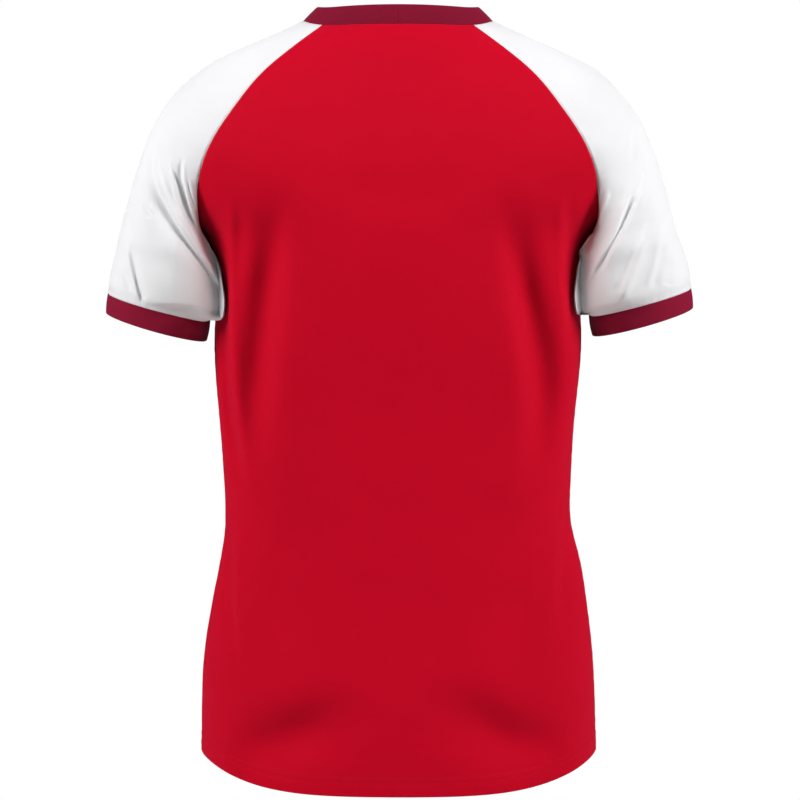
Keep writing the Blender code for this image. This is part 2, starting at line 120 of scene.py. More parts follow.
# The raglan seams, from the neck (0) to the underarm (1): level, and how far round the body they lie.
Raglan = namedtuple("Raglan", "station back_z back_angle front_z front_angle")
RAGLAN = (
    Raglan(0.0, -0.0100, 39.5, -0.0350, 24.0),
    Raglan(0.2, -0.0400, 36.6, -0.0620, 27.0),
    Raglan(0.4, -0.0730, 38.2, -0.0920, 32.0),
    Raglan(0.6, -0.1120, 43.7, -0.1270, 39.0),
    Raglan(0.8, -0.1600, 54.5, -0.1660, 51.0),
    Raglan(0.9, -0.1870, 66.5, -0.1900, 64.0),
    Raglan(1.0, -0.2120, 90.0, -0.2120, 90.0),
)

# The sleeve's sections: 0 neck, 1 underarm, 2 cuff seam, then the cuff. out_x, out_y and out_z are its
# outermost line, tilt leans the section's back down, wrap is how far round it goes each way from that
# line (up to the underarm seam, from 1 on) and depth is its half depth.
Sleeve = namedtuple("Sleeve", "station out_x out_y out_z tilt wrap depth")
SLEEVE = (
    Sleeve(0.0, 0.0920, 0.005, -0.0020, 15.0, 45.0, 0.066),
    Sleeve(0.2, 0.1400, 0.004, -0.0235, 3.0, 50.0, 0.073),
    Sleeve(0.4, 0.1910, 0.002, -0.0475, 2.0, 56.0, 0.079),
    Sleeve(0.6, 0.2290, 0.000, -0.0865, 1.0, 72.0, 0.074),
    Sleeve(0.8, 0.2515, -0.001, -0.1370, -1.0, 104.0, 0.068),
    Sleeve(1.0, 0.2665, -0.003, -0.1900, -5.0, 180.0, 0.071),
    Sleeve(1.4, 0.2735, -0.006, -0.2180, -5.5, 180.0, 0.071),
    Sleeve(1.8, 0.2815, -0.010, -0.2500, -5.5, 180.0, 0.068),
    Sleeve(CUFF_SEAM, 0.2837, -0.011, -0.2662, -5.5, 180.0, 0.063),
    Sleeve(CUFF_END, 0.2857, -0.013, -0.2847, -5.5, 180.0, 0.062),
)

# How far the sleeve bulges in over the body's side, above the tighter cuff.
Roll = namedtuple("Roll", "station reach")
ROLL = (
    Roll(0.62, 0.000),
    Roll(0.95, 0.019),
    Roll(1.30, 0.039),
    Roll(1.75, 0.050),
    Roll(1.85, 0.050),
    Roll(CUFF_SEAM, 0.010),
    Roll(CUFF_END, 0.000),
)
ROLL_ANGLE = 128.0            # where round the sleeve the bulge is
ROLL_SPREAD = 34.0
ROLL_BACKWARDS = 0.05         # its share that goes back, beside what goes in
FRONT_ROLL = 0.45             # the front bulge, as a share of the back one

# The underarm seam, on the sleeve's inner side.
Underarm = namedtuple("Underarm", "station x y z")
UNDERARM = (
    Underarm(1.0, 0.1870, 0.000, -0.2120),
    Underarm(1.5, 0.1835, -0.003, -0.2530),
    Underarm(CUFF_SEAM, 0.1830, -0.006, -0.2935),
    Underarm(CUFF_END, 0.1870, -0.008, -0.3130),
)

# The neckline's level, and how the neckband leans inwards and up: from the centre back (1) to the
# centre front (-1).
Neck = namedtuple("Neck", "backness z inwards up")
NECK = (
    Neck(1.00, -0.0120, 0.10, 0.99),
    Neck(0.62, -0.0100, 0.35, 0.93),
    Neck(0.00, -0.0020, 0.75, 0.66),
    Neck(-0.64, -0.0350, 0.74, 0.67),
    Neck(-1.00, -0.0880, 0.62, 0.78),
)

# ---------------------------------------------------------------- creases
# Troughs (depth below 0) and ridges along lines placed across and up. A crest is a second ridge or trough
# beside the first, shift metres off it: a positive shift is on the wearer's left of a line that runs down.
# The first has its edge width on the side of the crest and its full, softer width on the other. With a side,
# they show on cloth that faces it and move that straight back or forwards. With side 0 they show on cloth
# that faces either way and move it straight out. Start and end are the shares of the line over which they
# come up and die out. Sizes are in metres.
Crease = namedtuple("Crease", "name side width edge depth crest shift start end line")
BODY_CLOTH, SLEEVE_CLOTH = "body", "sleeve"
CREASES = {
    BODY_CLOTH: (
        Crease("left hip", BACK, 0.026, 0.022, -0.010, 0.002, 0.036, 0.45, 0.35,
               ((0.038, -0.640), (0.068, -0.670), (0.102, -0.687), (0.135, -0.696), (0.166, -0.700))),
        Crease("right hip", BACK, 0.026, 0.022, -0.0092, 0.002, -0.036, 0.45, 0.35,
               ((-0.030, -0.630), (-0.067, -0.664), (-0.106, -0.689), (-0.146, -0.691),
                (-0.171, -0.689))),
        Crease("left side", BACK, 0.008, 0.005, -0.013, 0.003, -0.010, 0.2, 0.35,
               ((0.169, -0.226), (0.167, -0.237), (0.166, -0.274), (0.165, -0.313), (0.163, -0.361),
                (0.159, -0.399), (0.151, -0.438), (0.144, -0.472))),
        Crease("left side drag", BACK, 0.015, 0.019, -0.0175, 0.0026, 0.034, 0.4, 0.4,
               ((0.108, -0.153), (0.114, -0.205), (0.123, -0.266), (0.130, -0.323), (0.133, -0.380),
                (0.132, -0.456))),
        Crease("left outer drag", BACK, 0.008, 0.005, -0.0022, 0.002, 0.009, 0.2, 0.3,
               ((0.154, -0.167), (0.150, -0.194), (0.151, -0.228), (0.154, -0.266), (0.154, -0.332),
                (0.150, -0.399))),
        Crease("right side drag", BACK, 0.015, 0.019, -0.0175, 0.0026, -0.032, 0.4, 0.4,
               ((-0.097, -0.158), (-0.107, -0.214), (-0.121, -0.278), (-0.133, -0.333), (-0.136, -0.375),
                (-0.129, -0.427), (-0.125, -0.475))),
        Crease("right outer drag", BACK, 0.007, 0.006, 0.0028, -0.002, -0.009, 0.3, 0.4,
               ((-0.151, -0.165), (-0.155, -0.203), (-0.157, -0.251), (-0.158, -0.332))),
        Crease("right blade ridge", BACK, 0.012, 0.009, 0.0016, -0.001, -0.012, 0.4, 0.4,
               ((-0.108, -0.172), (-0.107, -0.210), (-0.109, -0.276), (-0.115, -0.352), (-0.126, -0.408),
                (-0.129, -0.456))),
        Crease("left blade ridge", BACK, 0.012, 0.009, 0.0012, 0, 0, 0.4, 0.4,
               ((0.108, -0.177), (0.109, -0.238), (0.110, -0.304))),
        Crease("left waist", 0, 0.008, 0.005, -0.0034, 0.0014, -0.010, 0.2, 0.4,
               ((0.164, -0.485), (0.162, -0.523), (0.162, -0.562), (0.156, -0.605), (0.151, -0.631))),
        Crease("right waist", 0, 0.010, 0.007, -0.0024, 0.0012, 0.011, 0.2, 0.4,
               ((-0.163, -0.471), (-0.161, -0.509), (-0.157, -0.552), (-0.152, -0.600))),
        Crease("right flank", BACK, 0.020, 0.014, -0.0022, 0.001, -0.026, 0.4, 0.3,
               ((-0.107, -0.427), (-0.103, -0.492), (-0.100, -0.549), (-0.103, -0.610))),
        Crease("left flank", BACK, 0.020, 0.014, -0.0022, 0.001, 0.026, 0.4, 0.3,
               ((0.100, -0.464), (0.107, -0.530), (0.110, -0.577), (0.112, -0.614))),
        Crease("between the shoulder blades", BACK, 0.020, 0.010, -0.0018, 0, 0, 0.3, 0.3,
               ((0.075, -0.176), (0.001, -0.179), (-0.073, -0.175))),
        Crease("left belly", FRONT, 0.020, 0.012, -0.008, 0.003, 0.026, 0.35, 0.25,
               ((0.038, -0.600), (0.070, -0.622), (0.110, -0.640), (0.150, -0.655))),
        Crease("right belly", FRONT, 0.020, 0.012, -0.0075, 0.003, -0.026, 0.35, 0.25,
               ((-0.034, -0.610), (-0.068, -0.630), (-0.104, -0.646), (-0.146, -0.658))),
        Crease("left chest drag", FRONT, 0.016, 0.012, -0.006, 0.002, -0.022, 0.25, 0.4,
               ((0.130, -0.195), (0.140, -0.240), (0.147, -0.300), (0.148, -0.370), (0.144, -0.430))),
        Crease("right chest drag", FRONT, 0.016, 0.012, -0.006, 0.002, 0.022, 0.25, 0.4,
               ((-0.128, -0.200), (-0.139, -0.250), (-0.146, -0.310), (-0.146, -0.380),
                (-0.142, -0.440))),
        Crease("left front side", FRONT, 0.009, 0.006, -0.004, 0.0016, -0.010, 0.25, 0.35,
               ((0.168, -0.240), (0.166, -0.310), (0.161, -0.390), (0.153, -0.450))),
        Crease("right front side", FRONT, 0.009, 0.006, -0.0038, 0.0016, 0.010, 0.25, 0.35,
               ((-0.168, -0.250), (-0.165, -0.320), (-0.160, -0.400), (-0.152, -0.455))),
    ),
    SLEEVE_CLOTH: (
        Crease("left sleeve main fold", BACK, 0.008, 0.0017, -0.0043, 0.0029, -0.004, 0.22, 0.12,
               ((0.233, -0.114), (0.234, -0.141), (0.231, -0.160), (0.221, -0.184), (0.208, -0.208),
                (0.196, -0.227), (0.186, -0.241), (0.178, -0.254), (0.172, -0.265), (0.169, -0.275))),
        Crease("left sleeve second fold", BACK, 0.0052, 0.0017, -0.0034, 0.0021, 0.0036, 0.25, 0.2,
               ((0.215, -0.131), (0.214, -0.149), (0.210, -0.163), (0.206, -0.179), (0.201, -0.194),
                (0.194, -0.206), (0.187, -0.220), (0.180, -0.234), (0.172, -0.248), (0.168, -0.262))),
        Crease("left sleeve crumple", BACK, 0.003, 0.0015, -0.0025, 0.002, -0.0028, 0.2, 0.25,
               ((0.206, -0.139), (0.206, -0.153), (0.205, -0.165), (0.201, -0.182), (0.196, -0.200),
                (0.190, -0.214))),
        Crease("left sleeve inner crumple", BACK, 0.0024, 0.0014, -0.002, 0.0016, -0.0026, 0.25, 0.25,
               ((0.202, -0.156), (0.198, -0.172), (0.194, -0.186), (0.188, -0.200), (0.184, -0.214))),
        Crease("left sleeve lobe", BACK, 0.019, 0.019, -0.0185, 0, 0, 0.5, 0.1,
               ((0.168, -0.174), (0.166, -0.210), (0.164, -0.232), (0.164, -0.256), (0.164, -0.296))),
        Crease("left sleeve belly", BACK, 0.022, 0.022, 0.0075, 0, 0, 0.5, 0.05,
               ((0.206, -0.174), (0.211, -0.208), (0.215, -0.241), (0.217, -0.284))),
        Crease("left sleeve lower outer", BACK, 0.005, 0.0018, -0.0025, 0.0015, 0.0036, 0.3, 0.1,
               ((0.257, -0.217), (0.255, -0.230), (0.252, -0.244), (0.248, -0.261), (0.243, -0.278))),
        Crease("left sleeve small outer", BACK, 0.004, 0.0018, -0.0018, 0.0012, 0.0036, 0.4, 0.2,
               ((0.264, -0.242), (0.262, -0.252), (0.256, -0.267))),
        Crease("left sleeve rim", 0, 0.004, 0.002, -0.0012, 0, 0, 0.4, 0.2,
               ((0.270, -0.242), (0.270, -0.255), (0.270, -0.269))),
        Crease("left sleeve faint", BACK, 0.005, 0.003, -0.0016, 0.0009, 0.006, 0.4, 0.4,
               ((0.249, -0.151), (0.252, -0.165), (0.252, -0.179), (0.253, -0.193))),
        Crease("left sleeve small faint", BACK, 0.004, 0.0022, -0.0015, 0.0009, -0.004, 0.4, 0.4,
               ((0.242, -0.182), (0.238, -0.190), (0.232, -0.198))),
        Crease("right armpit pucker", BACK, 0.0026, 0.0015, 0.0022, -0.0018, 0.0032, 0.2, 0.3,
               ((-0.199, -0.170), (-0.198, -0.177), (-0.196, -0.184), (-0.192, -0.194), (-0.188, -0.204),
                (-0.183, -0.215))),
        Crease("right sleeve inner ridge", BACK, 0.0045, 0.0018, 0.0026, -0.0016, -0.0042, 0.25, 0.25,
               ((-0.221, -0.166), (-0.219, -0.176), (-0.215, -0.186), (-0.210, -0.200), (-0.203, -0.217),
                (-0.195, -0.232), (-0.186, -0.248), (-0.179, -0.264))),
        Crease("right sleeve outer ridge", BACK, 0.0055, 0.0026, 0.0026, -0.0006, 0.005, 0.35, 0.3,
               ((-0.238, -0.130), (-0.235, -0.158), (-0.231, -0.174), (-0.225, -0.187), (-0.219, -0.200),
                (-0.210, -0.216), (-0.203, -0.230), (-0.197, -0.244), (-0.191, -0.262))),
        Crease("right sleeve hollow", BACK, 0.019, 0.019, -0.0185, 0, 0, 0.5, 0.1,
               ((-0.170, -0.174), (-0.168, -0.210), (-0.166, -0.232), (-0.166, -0.256),
                (-0.166, -0.296))),
        Crease("right sleeve belly", BACK, 0.022, 0.022, 0.007, 0, 0, 0.5, 0.05,
               ((-0.207, -0.174), (-0.211, -0.208), (-0.214, -0.241), (-0.215, -0.284))),
        Crease("right armpit fullness", 0, 0.009, 0.009, 0.0034, 0, 0, 0.3, 0.3,
               ((-0.182, -0.204), (-0.179, -0.218), (-0.176, -0.238))),
        Crease("right sleeve shoulder line", BACK, 0.006, 0.004, -0.0012, 0.0008, 0.0046, 0.4, 0.4,
               ((-0.227, -0.101), (-0.225, -0.127), (-0.223, -0.155))),
        Crease("right sleeve long drape", BACK, 0.007, 0.0036, -0.0018, 0.0018, -0.007, 0.5, 0.15,
               ((-0.232, -0.194), (-0.225, -0.219), (-0.217, -0.244), (-0.206, -0.277))),
        Crease("right sleeve bright streak", BACK, 0.005, 0.004, 0.0018, 0, 0, 0.5, 0.15,
               ((-0.239, -0.204), (-0.232, -0.225), (-0.224, -0.246), (-0.208, -0.279))),
        Crease("right sleeve lower drape", BACK, 0.006, 0.0034, -0.0015, 0.001, 0.005, 0.5, 0.15,
               ((-0.258, -0.200), (-0.253, -0.225), (-0.248, -0.248), (-0.241, -0.267))),
        Crease("right sleeve rim", BACK, 0.005, 0.0026, -0.0012, 0, 0, 0.4, 0.1,
               ((-0.262, -0.233), (-0.260, -0.246), (-0.258, -0.262))),
        Crease("left sleeve front fold", FRONT, 0.008, 0.0026, -0.0034, 0.0022, -0.0046, 0.3, 0.2,
               ((0.232, -0.125), (0.226, -0.158), (0.213, -0.192), (0.199, -0.222), (0.189, -0.250))),
        Crease("left sleeve front second", FRONT, 0.005, 0.0024, -0.002, 0.0014, 0.004, 0.3, 0.2,
               ((0.212, -0.140), (0.208, -0.172), (0.199, -0.200), (0.189, -0.226))),
        Crease("left sleeve front drape", FRONT, 0.006, 0.0026, -0.0014, 0.001, 0.005, 0.4, 0.1,
               ((0.256, -0.205), (0.250, -0.232), (0.240, -0.262))),
        Crease("right sleeve front fold", FRONT, 0.008, 0.0026, -0.0034, 0.0022, 0.0046, 0.3, 0.2,
               ((-0.234, -0.121), (-0.227, -0.154), (-0.214, -0.187), (-0.200, -0.218),
                (-0.190, -0.245))),
        Crease("right sleeve front second", FRONT, 0.005, 0.0024, -0.002, 0.0014, -0.004, 0.3, 0.2,
               ((-0.211, -0.146), (-0.206, -0.176), (-0.197, -0.205), (-0.188, -0.230))),
        Crease("right sleeve front drape", FRONT, 0.006, 0.0026, -0.0014, 0.001, -0.005, 0.4, 0.1,
               ((-0.260, -0.200), (-0.252, -0.228), (-0.243, -0.258))),
    ),
}
CREASE_STEP = 0.0015          # between the points of a crease's smoothed line
CREASE_FINENESS = 4           # how many times finer it is drawn before its points are spaced
CREST_WIDTH = 0.75            # of a crest, as a share of its shift
CREASE_REACH = 3.0            # widths from the line at which a crease has died out
CREASE_FACING = 2.5           # how soon a crease fades where the cloth turns from it
CREASE_SEAM_FADE = 0.012      # how far from a seam it takes a crease to come up

# Waves so long and shallow that they only break the light up: wavelength and height.
Wave = namedtuple("Wave", "length height seed")
WAVES = {
    BODY_CLOTH: (Wave(0.110, 0.0005, 3), Wave(0.050, 0.00018, 4)),
    SLEEVE_CLOTH: (Wave(0.050, 0.0004, 5), Wave(0.024, 0.00014, 6)),
}
WAVE_DIRECTIONS = 5
WAVE_STRETCH = (0.7, 1.4)     # least and most of a direction's wavelength, as a share of its wave's
WAVE_START = 6.28             # about one whole turn

# ---------------------------------------------------------------- sewing, in metres
SEAM_LAP = 0.0001             # of two pieces at their seam, so that no light comes through
SEAM_GROOVE = 0.0008          # how deep the cloth turns in at a seam
GROOVE_WIDTH = 0.0012
ALLOWANCE = 0.0070            # the seam's turnings, inside
ALLOWANCE_RELIEF = 0.00025    # how they show on the outside
ALLOWANCE_STEP = 0.0009
PUCKER_HEIGHT = 0.00010
PUCKER_LENGTHS = (0.0110, 0.0071)
SEAM_STEP = 0.00025           # between the points a seam is measured from
NORMAL_SPREAD = 0.010         # how far a seam's shared direction reaches into each piece
SAME_PLACE = 0.0001

HEM_ROWS = (0.0180, 0.0130)   # the two rows of hem stitches, above the edge
HEM_RELIEF = 0.00020
STITCH_PITCH = 0.0034
STITCH_LENGTH = 0.0026
THREAD_RADIUS = 0.00018
THREAD_SIDES = 6
# Rings round a stitch: place from its middle in stitch lengths, then size and lift in thread radii.
StitchRing = namedtuple("StitchRing", "place size lift")
STITCH_RINGS = (
    StitchRing(-0.5, 0.35, -0.6),
    StitchRing(-0.4, 0.80, 0.1),
    StitchRing(0.0, 1.00, 0.6),
    StitchRing(0.4, 0.80, 0.1),
    StitchRing(0.5, 0.35, -0.6),
)

BAND_CROWN = 0.0005           # how much a band swells between its seam and its fold
BAND_LAP = 0.0006             # how far it laps over the edge that it is sewn to
BAND_SEAM_GROOVE = 0.0006
BAND_SEAM_WIDTH = 0.0007
BAND_ALLOWANCE = 0.0050
BAND_SLOPE_SHARE = 0.02       # of the height, over which a band's slope is measured

# What shows of each piece, laid flat: its size in metres, and its area where it isn't a rectangle.
Cut = namedtuple("Cut", "flat area")
NECKBAND_CUT = Cut((0.54, BAND_HEIGHT), None)
CUFF_CUT = Cut((0.36, 0.02), None)

# ---------------------------------------------------------------- grids: stops, and steps between them
RAGLAN_STOPS, RAGLAN_STEPS = (0.0, 0.03, 0.60, 1.0), (6, 42, 82)
UNDERARM_STOPS, UNDERARM_STEPS = (1.0, 1.97, CUFF_SEAM), (66, 6)
ABOVE_HEM_STOPS, ABOVE_HEM_STEPS = (0.510, 0.0240, 0.0020, 0.0), (96, 22, 8)
PANEL_STOPS, PANEL_STEPS = (-1.0, -0.97, -0.90, 0.90, 0.97, 1.0), (10, 12, 120, 12, 10)
SLEEVE_STOPS = (1.0, 0.97, 0.90, 0.35, 0.0, -0.90, -0.97, -1.0)
SLEEVE_STEPS = (8, 10, 140, 26, 36, 7, 7)
BAND_SEAM_ANGLES = (0.12, 0.24, 0.40, 0.60, 0.85, 1.15)
BAND_FLAT_STEPS = 12
BAND_TURN_STEPS = 8
SMOOTH_ANGLE = 60.0
BAKE_MARGIN = 0.01            # round each piece's UV map
TINY = 1e-12                  # keeps a length from being 0

RAGLAN_ROW = sum(RAGLAN_STEPS)               # the row of a panel or sleeve that meets the underarm
ALL = slice(None)
SEWN_EDGES = {
    BODY_CLOTH: ((0, ALL), (ALL, 0), (ALL, -1)),
    SLEEVE_CLOTH: ((0, ALL), (-1, ALL), (ALL, 0), (ALL, -1)),
}

# ---------------------------------------------------------------- finishes
Look = namedtuple("Look", "roughness specular")
CLOTH_LOOK = Look(0.62, 0.03)
BAND_LOOK = Look(0.70, 0.05)
THREAD_LOOK = Look(0.55, 0.15)

KNIT_RELIEF = 0.00012
KNIT_SHADE_AND_TONE = 0.045         # how much darker the base colour is painted in the gaps between stitches, as painted shade, and lighter on the yarn, as painted light; the slow random tone spans the same range
GAP_ROUGHNESS = 0.08          # how much rougher the gaps are
LEG_SLANT = 0.5               # courses that a stitch's leg climbs
LOOP_SHARE = 0.6              # of the yarn's height, how much comes and goes along a column
CLOTH_TONE_SIZE = 0.12        # how broad the slow changes of tone are
THREAD_TONE_SIZE = 0.004
TONE_SHARE = 0.5              # of the slow changes, beside the stitches
TONE_DETAIL = 2.0
THREAD_SHADES = (0.85, 1.05)
SHEEN_WEIGHT = 0.06
SHEEN_ROUGHNESS = 0.40
SHEEN_TINT = (1.0, 0.40, 0.90, 1.0)
MIX_FIRST, MIX_SECOND, MIX_COLOUR = 6, 7, 2  # the numbers of a Mix node's colour sockets, in and out

# ---------------------------------------------------------------- stage, in metres and watts
CAMERA_PLACE = (-0.00195, 2.6, -0.3705)
CAMERA_LENS = 120.0           # millimetres, as is the sensor
CAMERA_SENSOR = 36.0
FLOOR_LEVEL = -1.6
FLOOR_HALF = 4.0
FLOOR_COLOUR = (0.86, 0.86, 0.86, 1.0)
FLOOR_ROUGHNESS = 0.9
AMBIENT = 0.02                # brightness all round, while the camera sees plain white
SHIRT_MIDDLE = (0.0, 0.0, -0.36)
Light = namedtuple("Light", "name place size watts")
LIGHTS = (
    Light("left_key", (2.29, 1.20, 1.20), 1.2, 106.0),
    Light("right_key", (-2.30, 1.20, 1.14), 1.2, 106.0),
    Light("front_fill", (0.0, -2.4, 1.2), 2.0, 26.0),
)


# ---------------------------------------------------------------- curves through the tables
def spline(rows, across, column, at):
    """Natural cubic spline through one column of a table, read at any array of places."""
    knots = np.array([getattr(row, across) for row in rows])
    values = np.array([getattr(row, column) for row in rows])
    if knots[0] > knots[-1]:
        knots, values = knots[::-1], values[::-1]
    step = np.diff(knots)
    slope = np.diff(values) / step
    matrix = np.eye(len(knots))
    target = np.zeros(len(knots))
    for i in range(1, len(knots) - 1):
        matrix[i, i - 1:i + 2] = step[i - 1], 2 * (step[i - 1] + step[i]), step[i]
        target[i] = 6 * (slope[i] - slope[i - 1])
    bend = np.linalg.solve(matrix, target)
    at = np.asarray(at, float)
    i = np.clip(np.searchsorted(knots, at) - 1, 0, len(knots) - 2)
    low = (knots[i + 1] - at) / step[i]
    high = 1 - low
    curve = ((low**3 - low) * bend[i] + (high**3 - high) * bend[i + 1]) * step[i]**2 / 6
    return low * values[i] + high * values[i + 1] + curve


def ease(value):
    """0 up to 0, 1 from 1 on, smooth between."""
    value = np.clip(value, 0, 1)
    return value * value * (3 - 2 * value)


def eased(rows, column, at):
    """A column of a table read between its rows, with a soft start and stop at each row."""
    knots = [row.station for row in rows]
    place = np.interp(at, knots, range(len(rows)))
    row = np.minimum(place.astype(int), len(rows) - 2)
    values = np.array([getattr(row, column) for row in rows])
    return values[row] + (values[row + 1] - values[row]) * ease(place - row)


def signed_power(value, power):
    """A power of the value's size, with the value's sign."""
    return np.sign(value) * np.abs(value)**power


def unit(vectors):
    """The same directions, one metre long."""
    return vectors / np.maximum(np.linalg.norm(vectors, axis=-1, keepdims=True), TINY)


def without(vectors, direction):
    """The vectors with their part along a unit direction taken off."""
    return vectors - np.sum(vectors * direction, axis=-1, keepdims=True) * direction


def bell(distance, width):
    """1 on a line, and near 0 from about two widths off it."""
    return np.exp(-(distance / width)**2)


def spaced(stops, steps):
    """Places from the first stop to the last, evenly spaced between each two."""
    parts = [np.linspace(a, b, n, endpoint=False) for a, b, n in zip(stops, stops[1:], steps)]
    return np.concatenate([*parts, [stops[-1]]])


def runs(line):
    """How far along a line each of its points is."""
    return np.concatenate([[0], np.cumsum(np.linalg.norm(np.diff(line, axis=0), axis=1))])


def read_line(run, line, at):
    """Points of a line at places along its run."""
    return np.stack([np.interp(at, run, column) for column in line.T], axis=-1)


def resampled(line, step):
    """Points along a line, flat or in space, about one step apart, and how far along each one is."""
    run = runs(line)
    places = np.linspace(0, run[-1], max(2, int(math.ceil(run[-1] / step)) + 1))
    return read_line(run, line, places), places


# ---------------------------------------------------------------- the body
def body(side, angle, z):
    """Points of the body's cloth: the angle goes from -90 at the right side seam to 90 at the left one."""
    turn = np.radians(angle)
    half = np.where(turn > 0, spline(BODY, "z", "left", z), spline(BODY, "z", "right", z))
    x = half * signed_power(np.sin(turn), 2 / SECTION_POWER)
    y = side * spline(BODY, "z", SIDE_NAME[side], z) * np.abs(np.cos(turn))**(2 / SECTION_POWER)
    return np.stack([x, y, z + 0 * x], axis=-1)


def neckline(angle):
    """The neck seam, angle round from the centre back: positive to the left."""
    turn = np.radians(angle)
    reach = np.where(np.cos(turn) > 0, NECK_REACH[BACK], NECK_REACH[FRONT])
    x = NECK_HALF_WIDTH * np.sin(turn)
    y = NECK_MIDDLE_Y + reach * np.cos(turn)
    return np.stack([x, y, spline(NECK, "backness", "z", np.cos(turn))], axis=-1)


def raglan(side, column, station):
    """A raglan seam's level, or how far round the body it lies, at its stations."""
    return spline(RAGLAN, "station", SIDE_NAME[side] + "_" + column, station)


def seam(side, station):
    """The raglan seam on the left half, at the back or the front."""
    start = body(side, raglan(side, "angle", 0.0), raglan(side, "z", 0.0))
    onto_neck = neckline(np.array(NECK_SPLIT[side])) - start
    fade = (1 - station)**NECK_SPREAD_FADE
    line = body(side, raglan(side, "angle", station), raglan(side, "z", station))
    return line + fade[..., None] * onto_neck


def neck_angles(side, across):
    """Where the panel's columns meet the neckline, from its right end (-1) to its left one (1)."""
    if side == BACK:
        return across * NECK_SPLIT[BACK]
    from_middle = (180 - NECK_SPLIT[FRONT]) * np.abs(across)
    return np.where(across < 0, -1, 1) * (180 - from_middle)


def sleeve_neck_angles(across):
    """Where the sleeve's columns meet the neckline, from its back seam (1) to its front one (-1)."""
    return (sum(NECK_SPLIT.values()) - across * (NECK_SPLIT[FRONT] - NECK_SPLIT[BACK])) / 2


def panel_grid(side):
    """The back or front panel: rows from the neck to the underarm, then on to the hem."""
    across = spaced(PANEL_STOPS, PANEL_STEPS)
    neck = neckline(neck_angles(side, across))
    start = body(side, across * raglan(side, "angle", 0.0), neck[:, 2])
    above_seam = neck[:, 2] - raglan(side, "z", 0.0)
    rows = []
    for station in spaced(RAGLAN_STOPS, RAGLAN_STEPS):
        fade = 1 - station
        z = raglan(side, "z", station) + above_seam * fade**NECK_LEVEL_FADE
        level = body(side, across * raglan(side, "angle", station), z)
        rows.append(level + fade**NECK_SPREAD_FADE * (neck - start))
    underarm_z = raglan(side, "z", 1.0)
    share_out = np.abs(np.sin(np.radians(across * 90)))**(2 / SECTION_POWER)
    hem_z = HEM_LEVEL - HEM_DROP[side] * (1 - share_out**HEM_POWER)
    for above_hem in spaced(ABOVE_HEM_STOPS, ABOVE_HEM_STEPS)[1:]:
        share = 1 - above_hem / ABOVE_HEM_STOPS[0]
        rows.append(body(side, across * 90, underarm_z + share * (hem_z - underarm_z)))
    return np.array(rows)


# ---------------------------------------------------------------- the sleeves
def beside_body(points, fade):
    """Moves points that lie in the body, or close to it, out to the sleeve's clearance, softly."""
    x, y, z = points[..., 0], points[..., 1], points[..., 2]
    half = spline(BODY, "z", "left", z)
    reach = np.where(y > 0, spline(BODY, "z", "back", z), spline(BODY, "z", "front", z))
    size = (np.abs(x / half)**SECTION_POWER + np.abs(y / reach)**SECTION_POWER)**(1 / SECTION_POWER)
    wanted = 1 + SLEEVE_CLEARANCE / half
    grown = (size + wanted + np.sqrt((size - wanted)**2 + (CLEARANCE_SOFTNESS * fade)**2)) / 2
    scale = 1 + fade * (grown / size - 1)
    return np.stack([x * scale, y * scale, z], axis=-1)


def sleeve_points(station, across):
    """Points of the left sleeve: across is 1 at the back seam, 0 on the outermost line, -1 at the front."""
    value = {name: spline(SLEEVE, "station", name, station) for name in Sleeve._fields[1:]}
    wrap = np.radians(np.minimum(np.where(station < 1, value["wrap"], 180), 180))
    tilt = np.radians(value["tilt"])
    out = np.stack([value["out_x"], value["out_y"], value["out_z"]], axis=-1)
    backwards = np.stack([0 * tilt, np.cos(tilt), np.sin(tilt)], axis=-1)
    on_raglan = np.clip(station, 0, 1)
    underarm = [spline(UNDERARM, "station", name, np.maximum(station, 1)) for name in "xyz"]
    ends = {side: np.where((station < 1)[..., None], seam(side, on_raglan), np.stack(underarm, axis=-1))
            for side in (BACK, FRONT)}
    inwards = without((ends[BACK] + ends[FRONT]) / 2 - out, backwards)
    radius = np.linalg.norm(inwards, axis=-1) / (1 - np.cos(wrap))
    inwards = unit(inwards)

    def ring(angle):
        return (out + (radius * (1 - np.cos(angle)))[..., None] * inwards
                + (value["depth"] * np.sin(angle))[..., None] * backwards)

    share = np.abs(across)
    turn = wrap * across
    points = ring(turn)
    for side in (BACK, FRONT):
        points += (share**2 * (across * side > 0))[..., None] * (ends[side] - ring(side * wrap))
    degrees = np.degrees(turn)
    bulge = bell(degrees - ROLL_ANGLE, ROLL_SPREAD) + FRONT_ROLL * bell(degrees + ROLL_ANGLE, ROLL_SPREAD)
    reach = eased(ROLL, "reach", station) * bulge * (1 - share**SEAM_HOLD)
    return points + reach[..., None] * (inwards + ROLL_BACKWARDS * np.sign(across)[..., None] * backwards)


def blended_sleeve(station, across):
    """The sleeve's points averaged along it, so that the armhole's corner leaves no ridge across it."""
    reach = STATION_BLEND * (1 - np.abs(across)**BLEND_HOLD)
    reach *= ease(station / BLEND_RISE) * ease((CUFF_SEAM - station) / BLEND_RISE)
    steps = np.linspace(-1, 1, BLEND_SAMPLES)
    weights = 1 + np.cos(steps * math.pi * BLEND_SAMPLES / (BLEND_SAMPLES + 1))
    total = sum(weight * sleeve_points(station + step * reach, across)
                for step, weight in zip(steps, weights))
    return total / weights.sum()


